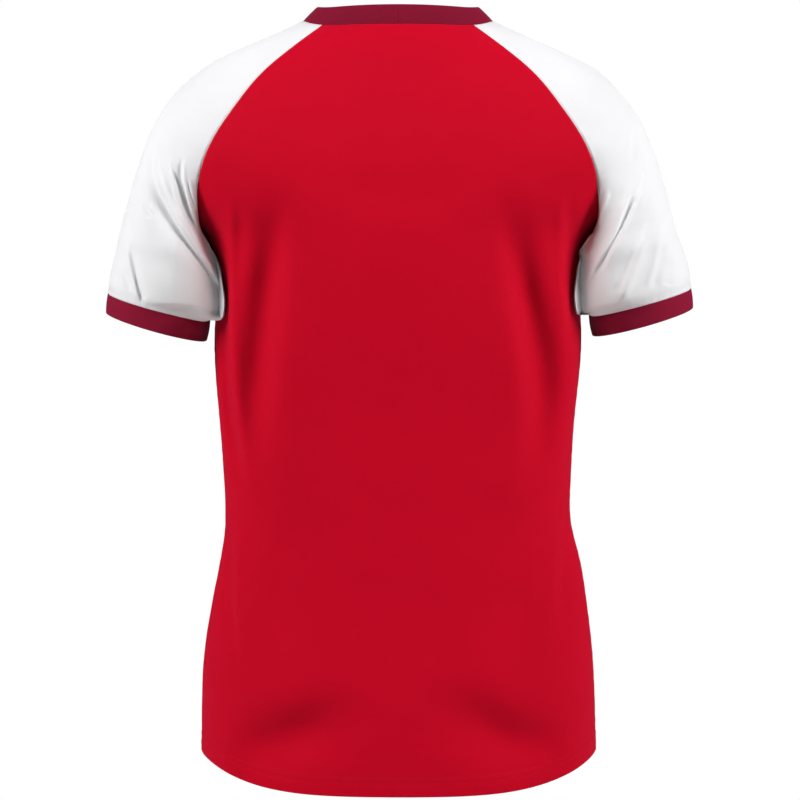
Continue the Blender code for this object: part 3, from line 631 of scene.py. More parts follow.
def sleeve_grid(side, stations):
    """The sleeve's cloth, its neck edge on the neckline and its inner side clear of the body."""
    station, across = np.meshgrid(stations, spaced(SLEEVE_STOPS, SLEEVE_STEPS), indexing="ij")
    onto_neck = neckline(sleeve_neck_angles(across)) - sleeve_points(0 * station, across)
    fade = (1 - np.minimum(station, 1))**NECK_SPREAD_FADE
    points = blended_sleeve(station, across) + fade[..., None] * onto_neck
    down_seam = UNDERARM_RUN * np.maximum(station - 1, 0)
    from_armhole = np.hypot(ARMHOLE_RUN * (1 - np.abs(across)) * (station < 1) + down_seam, down_seam)
    beside = ease((station - CLEARANCE_START) / (CLEARANCE_FULL - CLEARANCE_START))
    points = beside_body(points, beside * ease(from_armhole / CLEARANCE_FADE))
    if side == RIGHT:
        shift = ease((station - CLEARANCE_START) / (CUFF_SEAM - CLEARANCE_START))
        points += shift[..., None] * np.array(RIGHT_CUFF_SHIFT)
        points *= np.array([-1, 1, 1])
    return points


def cuff_face(side, shares):
    """The cuff's outer face, at shares of its height from the seam to the fold."""
    return sleeve_grid(side, CUFF_SEAM + shares * (CUFF_END - CUFF_SEAM))


# ---------------------------------------------------------------- the neckband
def neckband_angles():
    """Round from the centre back and home again, in step with the pieces that the band is sewn to."""
    panel = spaced(PANEL_STOPS, PANEL_STEPS)
    back = neck_angles(BACK, panel[panel >= 0])
    back = back[back > BAND_SEAM_ANGLES[-1]]
    shoulder = sleeve_neck_angles(spaced(SLEEVE_STOPS, SLEEVE_STEPS))[1:]
    front = np.sort(neck_angles(FRONT, panel[panel >= 0]))[1:]
    half = np.concatenate([[0], BAND_SEAM_ANGLES, back, shoulder, front])
    return np.concatenate([half, 360 - half[-2::-1]])


def neckband_grid(shares):
    """The neckband's outer face, at shares of its height from the seam to the fold."""
    angle = neckband_angles()
    backness = np.cos(np.radians(angle))
    inwards = spline(NECK, "backness", "inwards", backness)
    up = spline(NECK, "backness", "up", backness)
    lean = unit(np.stack([-np.sin(np.radians(angle)) * inwards, -backness * inwards, up], axis=-1))
    return neckline(angle) + lean * (BAND_HEIGHT * np.asarray(shares))[:, None, None]


# ---------------------------------------------------------------- seams
def grid_normals(grid, outwards):
    """Directions out of a piece's face."""
    return outwards * unit(np.cross(np.gradient(grid, axis=1), np.gradient(grid, axis=0)))


def band_normals(grid, higher, outwards):
    """Directions out of a closed band's face, from the same face a little further towards its fold."""
    along = np.gradient(grid, axis=1)
    along[:, 0] = along[:, -1] = (grid[:, 1] - grid[:, -2]) / 2
    return outwards * unit(np.cross(along, higher - grid))


def edge_places(grid):
    """Row and column of each point on the grid's four edges."""
    rows, columns = grid.shape[:2]
    inside = np.zeros((rows, columns), bool)
    inside[1:-1, 1:-1] = True
    return np.argwhere(~inside)


def share_seam_normals(pieces):
    """Pieces that meet at a seam get one common direction there, which fades into each over a little way."""
    places = [(piece, i, j) for piece in pieces for i, j in edge_places(piece["grid"])]
    tree = KDTree(len(places))
    for k, (piece, i, j) in enumerate(places):
        tree.insert(piece["grid"][i, j], k)
    tree.balance()
    shared = [{} for _ in pieces]
    number = {id(piece): n for n, piece in enumerate(pieces)}
    for piece, i, j in places:
        near = [places[k] for _, k, _ in tree.find_range(piece["grid"][i, j], SAME_PLACE)]
        shared[number[id(piece)]][i, j] = unit(sum(p["normals"][a, b] for p, a, b in near))
    for piece, wanted in zip(pieces, shared):
        target = piece["normals"].copy()
        for (i, j), normal in wanted.items():
            target[i, j] = normal
        piece["normals"] = spread_edges(piece["grid"], piece["normals"], target)


def spread_edges(grid, normals, target):
    """Carries the change of the edge normals into the grid, over NORMAL_SPREAD."""
    result = normals.copy()
    for axis in (0, 1):
        lines, old, new = (np.moveaxis(a, axis, 0) for a in (grid, normals, target))
        out = np.moveaxis(result, axis, 0)
        step = np.linalg.norm(np.diff(lines, axis=0), axis=-1)
        run = np.concatenate([np.zeros((1, step.shape[1])), np.cumsum(step, axis=0)])
        for edge, distance in ((0, run), (-1, run[-1] - run)):
            out += bell(distance, NORMAL_SPREAD)[..., None] * (new[edge] - old[edge])
    result = unit(result)
    for edge in ((0, ALL), (-1, ALL), (ALL, 0), (ALL, -1)):
        result[edge] = target[edge]
    return result


def seam_distance(grid, lines):
    """How far each point is from the nearest of the seam lines, and how far along that line."""
    points, along = (np.concatenate(part) for part in zip(*(resampled(line, SEAM_STEP) for line in lines)))
    tree = KDTree(len(points))
    for k, point in enumerate(points):
        tree.insert(point, k)
    tree.balance()
    found = [tree.find(point)[1:] for point in grid.reshape(-1, 3)]
    place = along[[k for k, _ in found]]
    distance = np.array([d for _, d in found])
    return distance.reshape(grid.shape[:2]), place.reshape(grid.shape[:2])


def lapped(grid, normals):
    """Moves the four edges out by half a seam's lap."""
    moved = grid.copy()
    for axis in (0, 1):
        lines = np.moveaxis(grid, axis, 0)
        facing = np.moveaxis(normals, axis, 0)
        target = np.moveaxis(moved, axis, 0)
        for edge, inner in ((0, 1), (-1, -2)):
            run = unit(np.gradient(lines[edge], axis=0))
            inwards = without(without(lines[inner] - lines[edge], facing[edge]), run)
            target[edge] -= unit(inwards) * SEAM_LAP / 2
    return moved


# ---------------------------------------------------------------- creases and relief
Corner = namedtuple("Corner", "run x z")


def smooth_line(corners):
    """A smooth line through a crease's corners, points CREASE_STEP apart."""
    run = runs(np.array(corners))
    rows = [Corner(r, x, z) for r, (x, z) in zip(run, corners)]
    at = np.linspace(0, run[-1], CREASE_FINENESS * int(math.ceil(run[-1] / CREASE_STEP)))
    line = np.stack([spline(rows, "run", name, at) for name in "xz"], axis=1)
    return resampled(line, CREASE_STEP)[0]


def along_line(places, line):
    """Signed distance of each place from the line, positive on the left of its run, and share along it."""
    start, step = line[:-1], np.diff(line, axis=0)
    length = np.linalg.norm(step, axis=1)
    from_start = places[:, None] - start
    share = np.clip(np.sum(from_start * step, axis=-1) / length**2, 0, 1)
    off = from_start - share[..., None] * step
    distance = np.linalg.norm(off, axis=-1)
    nearest = np.argmin(distance, axis=1)
    row = np.arange(len(places))
    off, step = off[row, nearest], step[nearest]
    sign = np.sign(step[:, 0] * off[:, 1] - step[:, 1] * off[:, 0])
    return sign * distance[row, nearest], (nearest + share[row, nearest]) / len(start)


def creases(grid, normals, cloth):
    """How each point moves for the creases of its cloth: backwards or forwards, or out with side 0."""
    total = np.zeros(grid.shape)
    places = grid[..., [0, 2]]
    for crease in CREASES[cloth]:
        line = smooth_line(crease.line)
        reach = CREASE_REACH * crease.width + abs(crease.shift)
        near = np.all((places > line.min(axis=0) - reach) & (places < line.max(axis=0) + reach), axis=-1)
        if not near.any():
            continue
        facing = ease(CREASE_FACING * crease.side * normals[near][:, 1]) if crease.side else 1
        off, share = along_line(places[near], line)
        strength = ease(share / crease.start) * ease((1 - share) / crease.end)
        width = np.where(off * crease.shift > 0, crease.edge, crease.width)
        height = crease.depth * bell(off, width)
        if crease.crest:
            height += crease.crest * bell(off - crease.shift, CREST_WIDTH * abs(crease.shift))
        way = np.array([0, crease.side, 0]) if crease.side else normals[near]
        total[near] += (facing * strength * height)[:, None] * way
    return total


def waves(grid, cloth):
    """Long shallow waves in a few set directions."""
    total = np.zeros(grid.shape[:-1])
    for wave in WAVES[cloth]:
        chance = np.random.default_rng(wave.seed)
        height = wave.height / math.sqrt(WAVE_DIRECTIONS)
        for _ in range(WAVE_DIRECTIONS):
            turns = unit(chance.normal(size=3)) * 2 * math.pi / (wave.length * chance.uniform(*WAVE_STRETCH))
            total += height * np.sin(grid @ turns + chance.uniform(0, WAVE_START))
    return total


def seam_relief(distance, place):
    """The cloth turns in at a seam, stands up a little over its turnings, and puckers along it."""
    groove = bell(distance, GROOVE_WIDTH)
    turnings = ALLOWANCE_RELIEF * ease((ALLOWANCE - distance) / ALLOWANCE)
    pucker = sum(np.sin(2 * math.pi * place / length) for length in PUCKER_LENGTHS)
    pucker *= PUCKER_HEIGHT * bell(distance, ALLOWANCE)
    return (turnings + pucker) * (1 - groove) - SEAM_GROOVE * groove


def turned_edge(above_edge, radius):
    """How far a folded edge draws in from the face, below 0, within a radius of the fold."""
    down = np.clip(1 - above_edge / radius, 0, 1)
    return radius * (np.sqrt(1 - down**2) - 1)


# ---------------------------------------------------------------- from grids to meshes
def shell_corners(rows, columns, tube_from):
    """Faces of a shell as corners (row, column, layer): both layers, then the rims of the open edges."""
    def faces(i, j, corners):
        return np.array([(i + di, j + dj, 0 * i + layer) for di, dj, layer in corners]).transpose(2, 0, 1)

    i, j = (a.ravel() for a in np.meshgrid(np.arange(rows - 1), np.arange(columns - 1), indexing="ij"))
    down, along = np.arange(tube_from), np.arange(columns - 1)
    first, last_column, last_row = 0 * down, 0 * down + columns - 1, 0 * along + rows - 1
    return np.concatenate([
        faces(i, j, ((0, 0, 0), (0, 1, 0), (1, 1, 0), (1, 0, 0))),
        faces(i, j, ((0, 0, 1), (1, 0, 1), (1, 1, 1), (0, 1, 1))),
        faces(down, first, ((0, 0, 0), (1, 0, 0), (1, 0, 1), (0, 0, 1))),
        faces(down, last_column, ((0, 0, 0), (0, 0, 1), (1, 0, 1), (1, 0, 0))),
        faces(0 * along, along, ((0, 0, 0), (0, 0, 1), (0, 1, 1), (0, 1, 0))),
        faces(last_row, along, ((0, 0, 0), (0, 1, 0), (0, 1, 1), (0, 0, 1))),
    ])


def grid_uv(grid):
    """Metres along the cloth, across and down."""
    across = np.cumsum(np.linalg.norm(np.diff(grid, axis=1, prepend=grid[:, :1]), axis=-1), axis=1)
    down = np.cumsum(np.linalg.norm(np.diff(grid, axis=0, prepend=grid[:1]), axis=-1), axis=0)
    across = across - across[:, grid.shape[1] // 2][:, None]
    return np.stack([across, -down], axis=-1)


def fitted(uv):
    """The same places laid out in the unit square, in from its edges by the margin."""
    low, high = uv.reshape(-1, 2).min(axis=0), uv.reshape(-1, 2).max(axis=0)
    return BAKE_MARGIN + (uv - low) / (high - low) * (1 - 2 * BAKE_MARGIN)


def halved(uv, layer):
    """Two faces share the unit square: the outer one, 0, has its left half, the inner one, 1, its right."""
    return np.stack([(uv[..., 0] + layer) / 2, uv[..., 1]], axis=-1)


def make_mesh(name, points, faces, uvs, material):
    """A mesh object from points, faces of four corners and, for each UV map, a place for each corner."""
    used, faces_used = np.unique(faces.ravel(), return_inverse=True)
    mesh = bpy.data.meshes.new(name)
    mesh.from_pydata(points[used].tolist(), [], faces_used.reshape(faces.shape).tolist())
    for uv_name, uv in uvs.items():
        layer = mesh.uv_layers.new(name=uv_name)
        layer.uv.foreach_set("vector", uv.ravel())
    mesh.shade_smooth()
    mesh.set_sharp_from_angle(angle=math.radians(SMOOTH_ANGLE))
    mesh.materials.append(material)
    thing = bpy.data.objects.new(name, mesh)
    bpy.context.scene.collection.objects.link(thing)
    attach(thing, "root")
    return thing


def shell_mesh(name, outer, inner, outwards, tube_from, material):
    """A shell from its outer and inner grids: a tube from row tube_from on, welded along its seam."""
    rows, columns = outer.shape[:2]
    corners = shell_corners(rows, columns, tube_from)
    if outwards < 0:
        corners = corners[:, ::-1]
    i, j, layer = corners[..., 0], corners[..., 1], corners[..., 2]
    welded = np.where((j == columns - 1) & (i >= tube_from) & (tube_from < rows - 1), 0, j)
    faces = (layer * rows + i) * columns + welded
    points = np.concatenate([outer.reshape(-1, 3), inner.reshape(-1, 3)])
    uv = grid_uv(outer)
    bake = np.stack([halved(fitted(uv), 0), halved(fitted(uv), 1)])
    uvs = {"cloth": uv[i, j], "OFBake": bake[layer, i, j]}
    return make_mesh(name, points, faces, uvs, material)


def band_mesh(name, grid, outwards, material):
    """A closed band from a grid whose rows go all round its section and whose columns go round the shirt."""
    rows, columns = grid.shape[:2]
    i, j = (a.ravel() for a in np.meshgrid(np.arange(rows), np.arange(columns - 1), indexing="ij"))
    corners = np.stack([[i, j], [i, j + 1], [i + 1, j + 1], [i + 1, j]]).transpose(2, 0, 1)
    if outwards < 0:
        corners = corners[:, ::-1]
    faces = (corners[..., 0] % rows) * columns + corners[..., 1] % (columns - 1)
    uv = grid_uv(np.concatenate([grid, grid[:1]]))
    places = corners[..., 0], corners[..., 1]
    uvs = {"cloth": uv[places], "OFBake": fitted(uv)[places]}
    return make_mesh(name, grid.reshape(-1, 3), faces, uvs, material)


# ---------------------------------------------------------------- the pieces before their relief
def make_piece(grid, outwards):
    """A piece's grid and directions out of it: outwards is 1 or -1, as its rows and columns turn."""
    return {"grid": grid, "normals": grid_normals(grid, outwards), "outwards": outwards}


def band_section(thickness, height):
    """Round a folded band from its seam: share of the height, and offset from the outer face's line."""
    radius = thickness / 2
    flat = np.linspace(-BAND_LAP / height, 1 - radius / height, BAND_FLAT_STEPS + 1)
    turn = np.linspace(0, math.pi, BAND_TURN_STEPS + 1)[1:-1]
    shares = np.concatenate([flat, 1 - radius / height + np.sin(turn) * radius / height, flat[::-1]])
    offsets = np.concatenate([0 * flat, radius * (np.cos(turn) - 1), 0 * flat - thickness])
    crown = BAND_CROWN * (1 - (2 * np.minimum(shares, 1) - 1)**2)
    return shares, offsets + crown


@functools.cache
def base_cloth():
    """The panels' and sleeves' grids and directions, with the seams between them shared."""
    above = spaced(RAGLAN_STOPS, RAGLAN_STEPS)
    below = spaced(UNDERARM_STOPS, UNDERARM_STEPS)[1:]
    pieces = {
        "back_panel": make_piece(panel_grid(BACK), 1),
        "front_panel": make_piece(panel_grid(FRONT), -1),
        "sleeve_left": make_piece(sleeve_grid(LEFT, np.concatenate([above, below])), 1),
        "sleeve_right": make_piece(sleeve_grid(RIGHT, np.concatenate([above, below])), -1),
    }
    share_seam_normals(list(pieces.values()))
    return pieces


def turned_hem(grid, thickness):
    """What the hem adds to the outer and the inner face: its step, its stitches' grooves and its fold."""
    step = np.linalg.norm(np.diff(grid, axis=0), axis=-1)
    from_edge = np.concatenate([np.cumsum(step[::-1], axis=0)[::-1], np.zeros((1, step.shape[1]))])
    raised = ease((HEM_ROWS[0] + GROOVE_WIDTH - from_edge) / GROOVE_WIDTH)
    grooves = sum(bell(from_edge - row, GROOVE_WIDTH) for row in HEM_ROWS)
    doubled = ease((HEM_ROWS[0] + ALLOWANCE_STEP - from_edge) / ALLOWANCE_STEP)
    fold = turned_edge(from_edge, thickness)
    return HEM_RELIEF * (raised - grooves) + fold, -thickness * doubled - fold


def cloth_shell(node, cloth, material, sizes):
    """One panel or sleeve: its relief, its inner face and its mesh."""
    piece = base_cloth()[node]
    grid, normals = piece["grid"], piece["normals"]
    distance, place = seam_distance(grid, [grid[edge] for edge in SEWN_EDGES[cloth]])
    drape = creases(grid, normals, cloth) * sizes.crease_strength + waves(grid, cloth)[..., None] * normals
    drape *= ease(distance / CREASE_SEAM_FADE)[..., None]
    relief = seam_relief(distance, place)
    turnings = sizes.cloth_thickness * ease((ALLOWANCE - distance) / ALLOWANCE_STEP + 0.5)
    inside = -sizes.cloth_thickness - turnings
    if cloth == BODY_CLOTH:
        hem_outside, hem_inside = turned_hem(grid, sizes.cloth_thickness)
        relief += hem_outside
        inside += hem_inside
    base = lapped(grid, normals)
    outer = base + drape + relief[..., None] * normals
    inner = base + drape + inside[..., None] * normals
    piece["outer"] = outer
    tube_from = RAGLAN_ROW if cloth == SLEEVE_CLOTH else len(grid) - 1
    return shell_mesh(node + "_cloth", outer, inner, piece["outwards"], tube_from, material)


def folded_band(name, face, outwards, material, sizes):
    """A folded band on a face given by shares of its height, with its two ends sewn together in a groove."""
    shares, offsets = band_section(sizes.band_thickness, BAND_HEIGHT)
    section_grid = face(shares)
    normals = band_normals(section_grid, face(shares + BAND_SLOPE_SHARE), outwards)
    run = np.linalg.norm(section_grid - section_grid[:, :1], axis=-1)
    outside = ease(1 + offsets / BAND_CROWN)[:, None]
    sewn = ALLOWANCE_RELIEF * ease((BAND_ALLOWANCE - run) / BAND_SEAM_WIDTH)
    sewn = (sewn - BAND_SEAM_GROOVE * bell(run, BAND_SEAM_WIDTH)) * outside
    grid = section_grid + (offsets[:, None] + sewn)[..., None] * normals
    return band_mesh(name, grid, outwards, material)


def stitch_row(line, normals):
    """Thread stitches along a line on the cloth, as points and faces."""
    run = runs(line)
    turns = np.linspace(0, 2 * math.pi, THREAD_SIDES, endpoint=False)
    points, faces = [], []
    for middle in np.arange(STITCH_PITCH / 2, run[-1], STITCH_PITCH):
        start, end = (read_line(run, line, middle + sign * STITCH_LENGTH / 2) for sign in (-1, 1))
        normal = unit(read_line(run, normals, middle))
        along = unit(end - start)
        circle = np.cos(turns)[:, None] * np.cross(normal, along) + np.sin(turns)[:, None] * normal
        first = len(points) * THREAD_SIDES
        for ring in STITCH_RINGS:
            from_middle = along * ring.place * STITCH_LENGTH + normal * ring.lift * THREAD_RADIUS
            points.append((start + end) / 2 + from_middle + circle * ring.size * THREAD_RADIUS)
        for row in range(len(STITCH_RINGS) - 1):
            for k in range(THREAD_SIDES):
                here = first + row * THREAD_SIDES + k
                beside = first + row * THREAD_SIDES + (k + 1) % THREAD_SIDES
                faces.append([here, beside, beside + THREAD_SIDES, here + THREAD_SIDES])
    return np.concatenate(points), np.array(faces)


def hem_stitches(outer, normals):
    """Both rows of stitches along a panel's hem, as points and faces."""
    above_hem = spaced(ABOVE_HEM_STOPS, ABOVE_HEM_STEPS)
    points, faces, first = [], [], 0
    for height in HEM_ROWS:
        row = RAGLAN_ROW + int(np.argmin(np.abs(above_hem - height)))
        row_points, row_faces = stitch_row(outer[row], normals[row])
        points.append(row_points)
        faces.append(row_faces + first)
        first += len(row_points)
    return np.concatenate(points), np.concatenate(faces)


# ---------------------------------------------------------------- materials
class Wire:
    """An output socket: sums and products of wires add Math nodes to their tree."""

    def __init__(self, socket):
        self.socket = socket
        self.tree = socket.id_data

    def math(self, operation, *others, flipped=False):
        node = self.tree.nodes.new("ShaderNodeMath")
        node.operation = operation
        values = (*others, self) if flipped else (self, *others)
        for place, value in zip(node.inputs, values):
            feed(place, value)
        return Wire(node.outputs[0])

    def __add__(self, other):
        return self.math("ADD", other)

    def __sub__(self, other):
        return self.math("SUBTRACT", other)

    def __rsub__(self, other):
        return self.math("SUBTRACT", other, flipped=True)

    def __mul__(self, other):
        return self.math("MULTIPLY", other)

    def __truediv__(self, other):
        return self.math("DIVIDE", other)

    def __rtruediv__(self, other):
        return self.math("DIVIDE", other, flipped=True)

    def __abs__(self):
        return self.math("ABSOLUTE")

    __radd__ = __add__
    __rmul__ = __mul__


def feed(place, value):
    """Links a wire to an input socket, or sets the socket to a plain value."""
    if isinstance(value, Wire):
        place.id_data.links.new(value.socket, place)
    else:
        place.default_value = value


class Nodes:
    """Adds nodes to one tree."""

    def __init__(self, tree):
        self.tree = tree

    def node(self, kind, settings, inputs, output=0):
        """A node of a type, with its settings and then the values or wires of its sockets."""
        node = self.tree.nodes.new(kind)
        for name, value in settings.items():
            setattr(node, name, value)
        for name, value in inputs.items():
            feed(node.inputs[name], value)
        return Wire(node.outputs[output])

    def mixed(self, share, colour, other):
        """A colour that goes from the first to the second with the share."""
        inputs = {"Factor": share, MIX_FIRST: colour, MIX_SECOND: other}
        return self.node("ShaderNodeMix", {"data_type": "RGBA"}, inputs, MIX_COLOUR)

    def finish(self, shader, inputs):
        """Sets or feeds the sockets of the shader that the tree came with."""
        for name, value in inputs.items():
            feed(self.tree.nodes[shader].inputs[name], value)


def new_material(name):
    """A material and its nodes."""
    material = bpy.data.materials.new(name)
    material.use_nodes = True
    return material, Nodes(material.node_tree)


def shade(colour, factor):
    """A colour made darker or lighter."""
    return (*(min(1.0, part * factor) for part in colour), 1.0)


def stitch_height(nodes, wale, course):
    """The face of a fine knit: columns of V stitches, 0 in the gaps between them and 1 on the yarn; it
    drives the bump, the roughness and the painted shade of the gaps.
    """
    uv = nodes.node("ShaderNodeUVMap", {"uv_map": "cloth"}, {})
    u = nodes.node("ShaderNodeSeparateXYZ", {}, {"Vector": uv}, "X")
    v = nodes.node("ShaderNodeSeparateXYZ", {}, {"Vector": uv}, "Y")
    leg = abs((u / wale).math("FRACT") - 0.5) * 2
    yarn = 1 - abs(leg - 0.5) * 2
    phase = v / course + leg * LEG_SLANT
    loop = (phase * (2 * math.pi)).math("COSINE") * 0.5 + 0.5
    return yarn * (loop * LOOP_SHARE + (1 - LOOP_SHARE))


def broad_tone(nodes, size):
    """Slow, faint change over the cloth, 0 to 1."""
    place = nodes.node("ShaderNodeTexCoord", {}, {}, "Object")
    return nodes.node("ShaderNodeTexNoise", {}, {"Vector": place, "Scale": 1 / size, "Detail": TONE_DETAIL})


def knit_material(name, colour, look, sizes):
    """A fine polyester knit: its base colour is painted darker in the gaps between stitches, as painted
    shade, and lighter on the yarn, as painted light, half and half with a slow random tone.
    """
    material, nodes = new_material(name)
    stitches = stitch_height(nodes, sizes.wale, sizes.course)
    tone = broad_tone(nodes, CLOTH_TONE_SIZE)
    # The colour share is half the stitches, painted shade in the gaps and painted light on the yarn, and
    # half a random tone.
    share = stitches * (1 - TONE_SHARE) + tone * TONE_SHARE
    relief = {"Strength": 1.0, "Distance": KNIT_RELIEF, "Height": stitches}
    nodes.finish("Principled BSDF", {
        "Base Color": nodes.mixed(share, shade(colour, 1 - KNIT_SHADE_AND_TONE), shade(colour, 1 + KNIT_SHADE_AND_TONE)),
        "Roughness": look.roughness + (1 - stitches) * GAP_ROUGHNESS,
        "Normal": nodes.node("ShaderNodeBump", {}, relief),
        "Specular IOR Level": look.specular,
        "Sheen Weight": SHEEN_WEIGHT,
        "Sheen Roughness": SHEEN_ROUGHNESS,
        "Sheen Tint": SHEEN_TINT,
    })
    return material


def thread_material(name, colour):
    """Sewing thread, spun from the cloth's colour."""
    material, nodes = new_material(name)
    tone = broad_tone(nodes, THREAD_TONE_SIZE)
    nodes.finish("Principled BSDF", {
        "Base Color": nodes.mixed(tone, *(shade(colour, factor) for factor in THREAD_SHADES)),
        "Roughness": THREAD_LOOK.roughness,
        "Specular IOR Level": THREAD_LOOK.specular,
    })
    return material


# ---------------------------------------------------------------- what a user can change
class JerseySizes(bpy.types.PropertyGroup):
    cloth_thickness: FloatProperty(
        name="Cloth Thickness", description="Thickness of the knitted cloth", default=0.0007, min=0.0003,
        max=0.0015, precision=4, unit="LENGTH")
    band_thickness: FloatProperty(
        name="Band Thickness", description="Thickness of the folded neckband and cuffs", default=0.0020,
        min=0.0010, max=0.0040, precision=4, unit="LENGTH")
    crease_strength: FloatProperty(
        name="Crease Strength", description="How deep the creases are", default=1.0, min=0.0, max=1.5,
        subtype="FACTOR")
    wale: FloatProperty(
        name="Wale Width", description="Width of one column of stitches in the cloth", default=0.0011,
        min=0.0005, max=0.0030, precision=4, unit="LENGTH")
    course: FloatProperty(
        name="Course Height", description="Height of one row of stitches in the cloth", default=0.0009,
        min=0.0004, max=0.0030, precision=4, unit="LENGTH")


class JerseyColours(bpy.types.PropertyGroup):
    body: FloatVectorProperty(
        name="Body", description="Colour of the back and front panels", default=(0.458, 0.0008, 0.0130),
        min=0, max=1, size=3, subtype="COLOR")
    sleeves: FloatVectorProperty(
        name="Sleeves", description="Colour of the sleeves", default=(0.69, 0.69, 0.70),
        min=0, max=1, size=3, subtype="COLOR")
    bands: FloatVectorProperty(
        name="Bands", description="Colour of the neckband and cuffs", default=(0.195, 0.0052, 0.0235),
        min=0, max=1, size=3, subtype="COLOR")


def chosen(context):
    """The sizes and the colours as they are set."""
    return context.scene.jersey_sizes, context.scene.jersey_colours


def sewn_piece(node):
    """Hides a piece's solid, whose place its cloth takes."""
    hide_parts(node)


class JERSEY_OT_panels(bpy.types.Operator):
    """Lays the back and front panels over their solids"""
    bl_idname = "jersey.panels"
    bl_label = "Back and Front Panels"

    def execute(self, context):
        sizes, colours = chosen(context)
        material = knit_material("red_knit", colours.body, CLOTH_LOOK, sizes)
        for node in ("back_panel", "front_panel"):
            thing = cloth_shell(node, BODY_CLOTH, material, sizes)
            sewn_piece(node)
        return {"FINISHED"}


class JERSEY_OT_sleeves(bpy.types.Operator):
    """Lays the two raglan sleeves over their solids"""
    bl_idname = "jersey.sleeves"
    bl_label = "Sleeves"

    def execute(self, context):
        sizes, colours = chosen(context)
        material = knit_material("white_knit", colours.sleeves, CLOTH_LOOK, sizes)
        for node in ("sleeve_left", "sleeve_right"):
            thing = cloth_shell(node, SLEEVE_CLOTH, material, sizes)
            sewn_piece(node)
        return {"FINISHED"}


class JERSEY_OT_bands(bpy.types.Operator):
    """Folds the neckband and the cuffs"""
    bl_idname = "jersey.bands"
    bl_label = "Neckband and Cuffs"

    def execute(self, context):
        sizes, colours = chosen(context)
        material = knit_material("maroon_knit", colours.bands, BAND_LOOK, sizes)
        bands = (
            ("neckband", neckband_grid, -1, NECKBAND_CUT),
            ("cuff_left", functools.partial(cuff_face, LEFT), LEFT, CUFF_CUT),
            ("cuff_right", functools.partial(cuff_face, RIGHT), RIGHT, CUFF_CUT),
        )
        for node, face, outwards, cut in bands:
            thing = folded_band(node + "_knit", face, outwards, material, sizes)
            sewn_piece(node)
        return {"FINISHED"}


class JERSEY_OT_hem_stitching(bpy.types.Operator):
    """Sews the two rows of stitches along the hem"""
    bl_idname = "jersey.hem_stitching"
    bl_label = "Hem Stitching"

    def execute(self, context):
        colours = chosen(context)[1]
        material = thread_material("red_thread", colours.body)
        for side in ("back", "front"):
            piece = base_cloth()[side + "_panel"]
            if "outer" not in piece:
                raise RuntimeError("the panels come before their hem stitching")
            points, faces = hem_stitches(piece["outer"], piece["normals"])
            thing = make_mesh("hem_stitches_" + side, points, faces, {}, material)
        return {"FINISHED"}


class JERSEY_OT_stage(bpy.types.Operator):
    """Sets up the floor, the soft light and the camera"""
    bl_idname = "jersey.stage"
    bl_label = "Stage"

    def execute(self, context):
        scene = context.scene
        scene.view_settings.view_transform = "Standard"
        make_floor(scene)
        for light in LIGHTS:
            make_light(scene, light)
        make_world(scene)
        make_camera(scene)
        return {"FINISHED"}


# ---------------------------------------------------------------- the stage
def make_floor(scene):
    half, z = FLOOR_HALF, FLOOR_LEVEL
    mesh = bpy.data.meshes.new("floor")
    mesh.from_pydata([(-half, -half, z), (half, -half, z), (half, half, z), (-half, half, z)], [],
                     [(0, 1, 2, 3)])
    material, nodes = new_material("pale_floor")
    nodes.finish("Principled BSDF", {"Base Color": FLOOR_COLOUR, "Roughness": FLOOR_ROUGHNESS})
    mesh.materials.append(material)
    thing = bpy.data.objects.new("floor", mesh)
    scene.collection.objects.link(thing)


def aimed(thing, place, target):
    """Puts a light or the camera at a place and turns it to a target."""
    direction = np.array(target) - np.array(place)
    thing.location = place
    pitch = math.acos(-direction[2] / np.linalg.norm(direction))
    thing.rotation_euler = (pitch, 0, math.atan2(-direction[0], direction[1]))


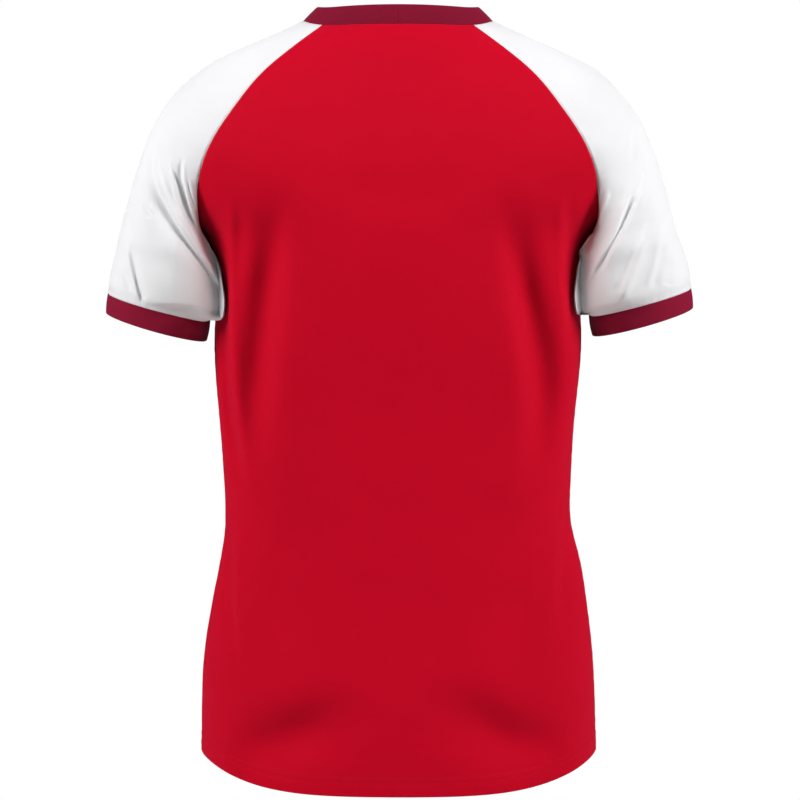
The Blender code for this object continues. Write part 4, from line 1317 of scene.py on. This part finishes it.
def make_light(scene, light):
    lamp = bpy.data.lights.new(light.name, "AREA")
    lamp.shape = "DISK"
    lamp.size = light.size
    lamp.energy = light.watts
    thing = bpy.data.objects.new(light.name, lamp)
    aimed(thing, light.place, SHIRT_MIDDLE)
    scene.collection.objects.link(thing)


def make_world(scene):
    """Faint light from all round, and plain white behind the shirt."""
    world = bpy.data.worlds.new("studio")
    world.use_nodes = True
    nodes = Nodes(world.node_tree)
    seen = nodes.node("ShaderNodeLightPath", {}, {}, "Is Camera Ray")
    nodes.finish("Background", {"Color": (1, 1, 1, 1), "Strength": seen * (1 - AMBIENT) + AMBIENT})
    scene.world = world


def make_camera(scene):
    camera = bpy.data.cameras.new("camera")
    camera.lens = CAMERA_LENS
    camera.sensor_width = CAMERA_SENSOR
    thing = bpy.data.objects.new("camera", camera)
    aimed(thing, CAMERA_PLACE, (CAMERA_PLACE[0], 0.0, CAMERA_PLACE[2]))
    scene.collection.objects.link(thing)
    scene.camera = thing


class JERSEY_PT_panel(bpy.types.Panel):
    """Sizes, colours and pieces of the jersey"""
    bl_label = "Football Jersey"
    bl_space_type = "VIEW_3D"
    bl_region_type = "UI"
    bl_category = "Jersey"

    def draw(self, context):
        layout = self.layout
        for group in chosen(context):
            for name in group.__annotations__:
                layout.prop(group, name)
        for operator in OPERATORS:
            layout.operator(operator.bl_idname)


OPERATORS = (
    JERSEY_OT_panels,
    JERSEY_OT_sleeves,
    JERSEY_OT_bands,
    JERSEY_OT_hem_stitching,
    JERSEY_OT_stage,
)
CLASSES = (JerseySizes, JerseyColours, *OPERATORS, JERSEY_PT_panel)


def register():
    for cls in CLASSES:
        bpy.utils.register_class(cls)
    bpy.types.Scene.jersey_sizes = PointerProperty(type=JerseySizes)
    bpy.types.Scene.jersey_colours = PointerProperty(type=JerseyColours)


def unregister():
    del bpy.types.Scene.jersey_colours
    del bpy.types.Scene.jersey_sizes
    for cls in reversed(CLASSES):
        bpy.utils.unregister_class(cls)


def main():
    register()
    bpy.ops.jersey.panels()
    bpy.ops.jersey.sleeves()
    bpy.ops.jersey.bands()
    bpy.ops.jersey.hem_stitching()
    bpy.ops.jersey.stage()


if __name__ == "__main__":
    main()
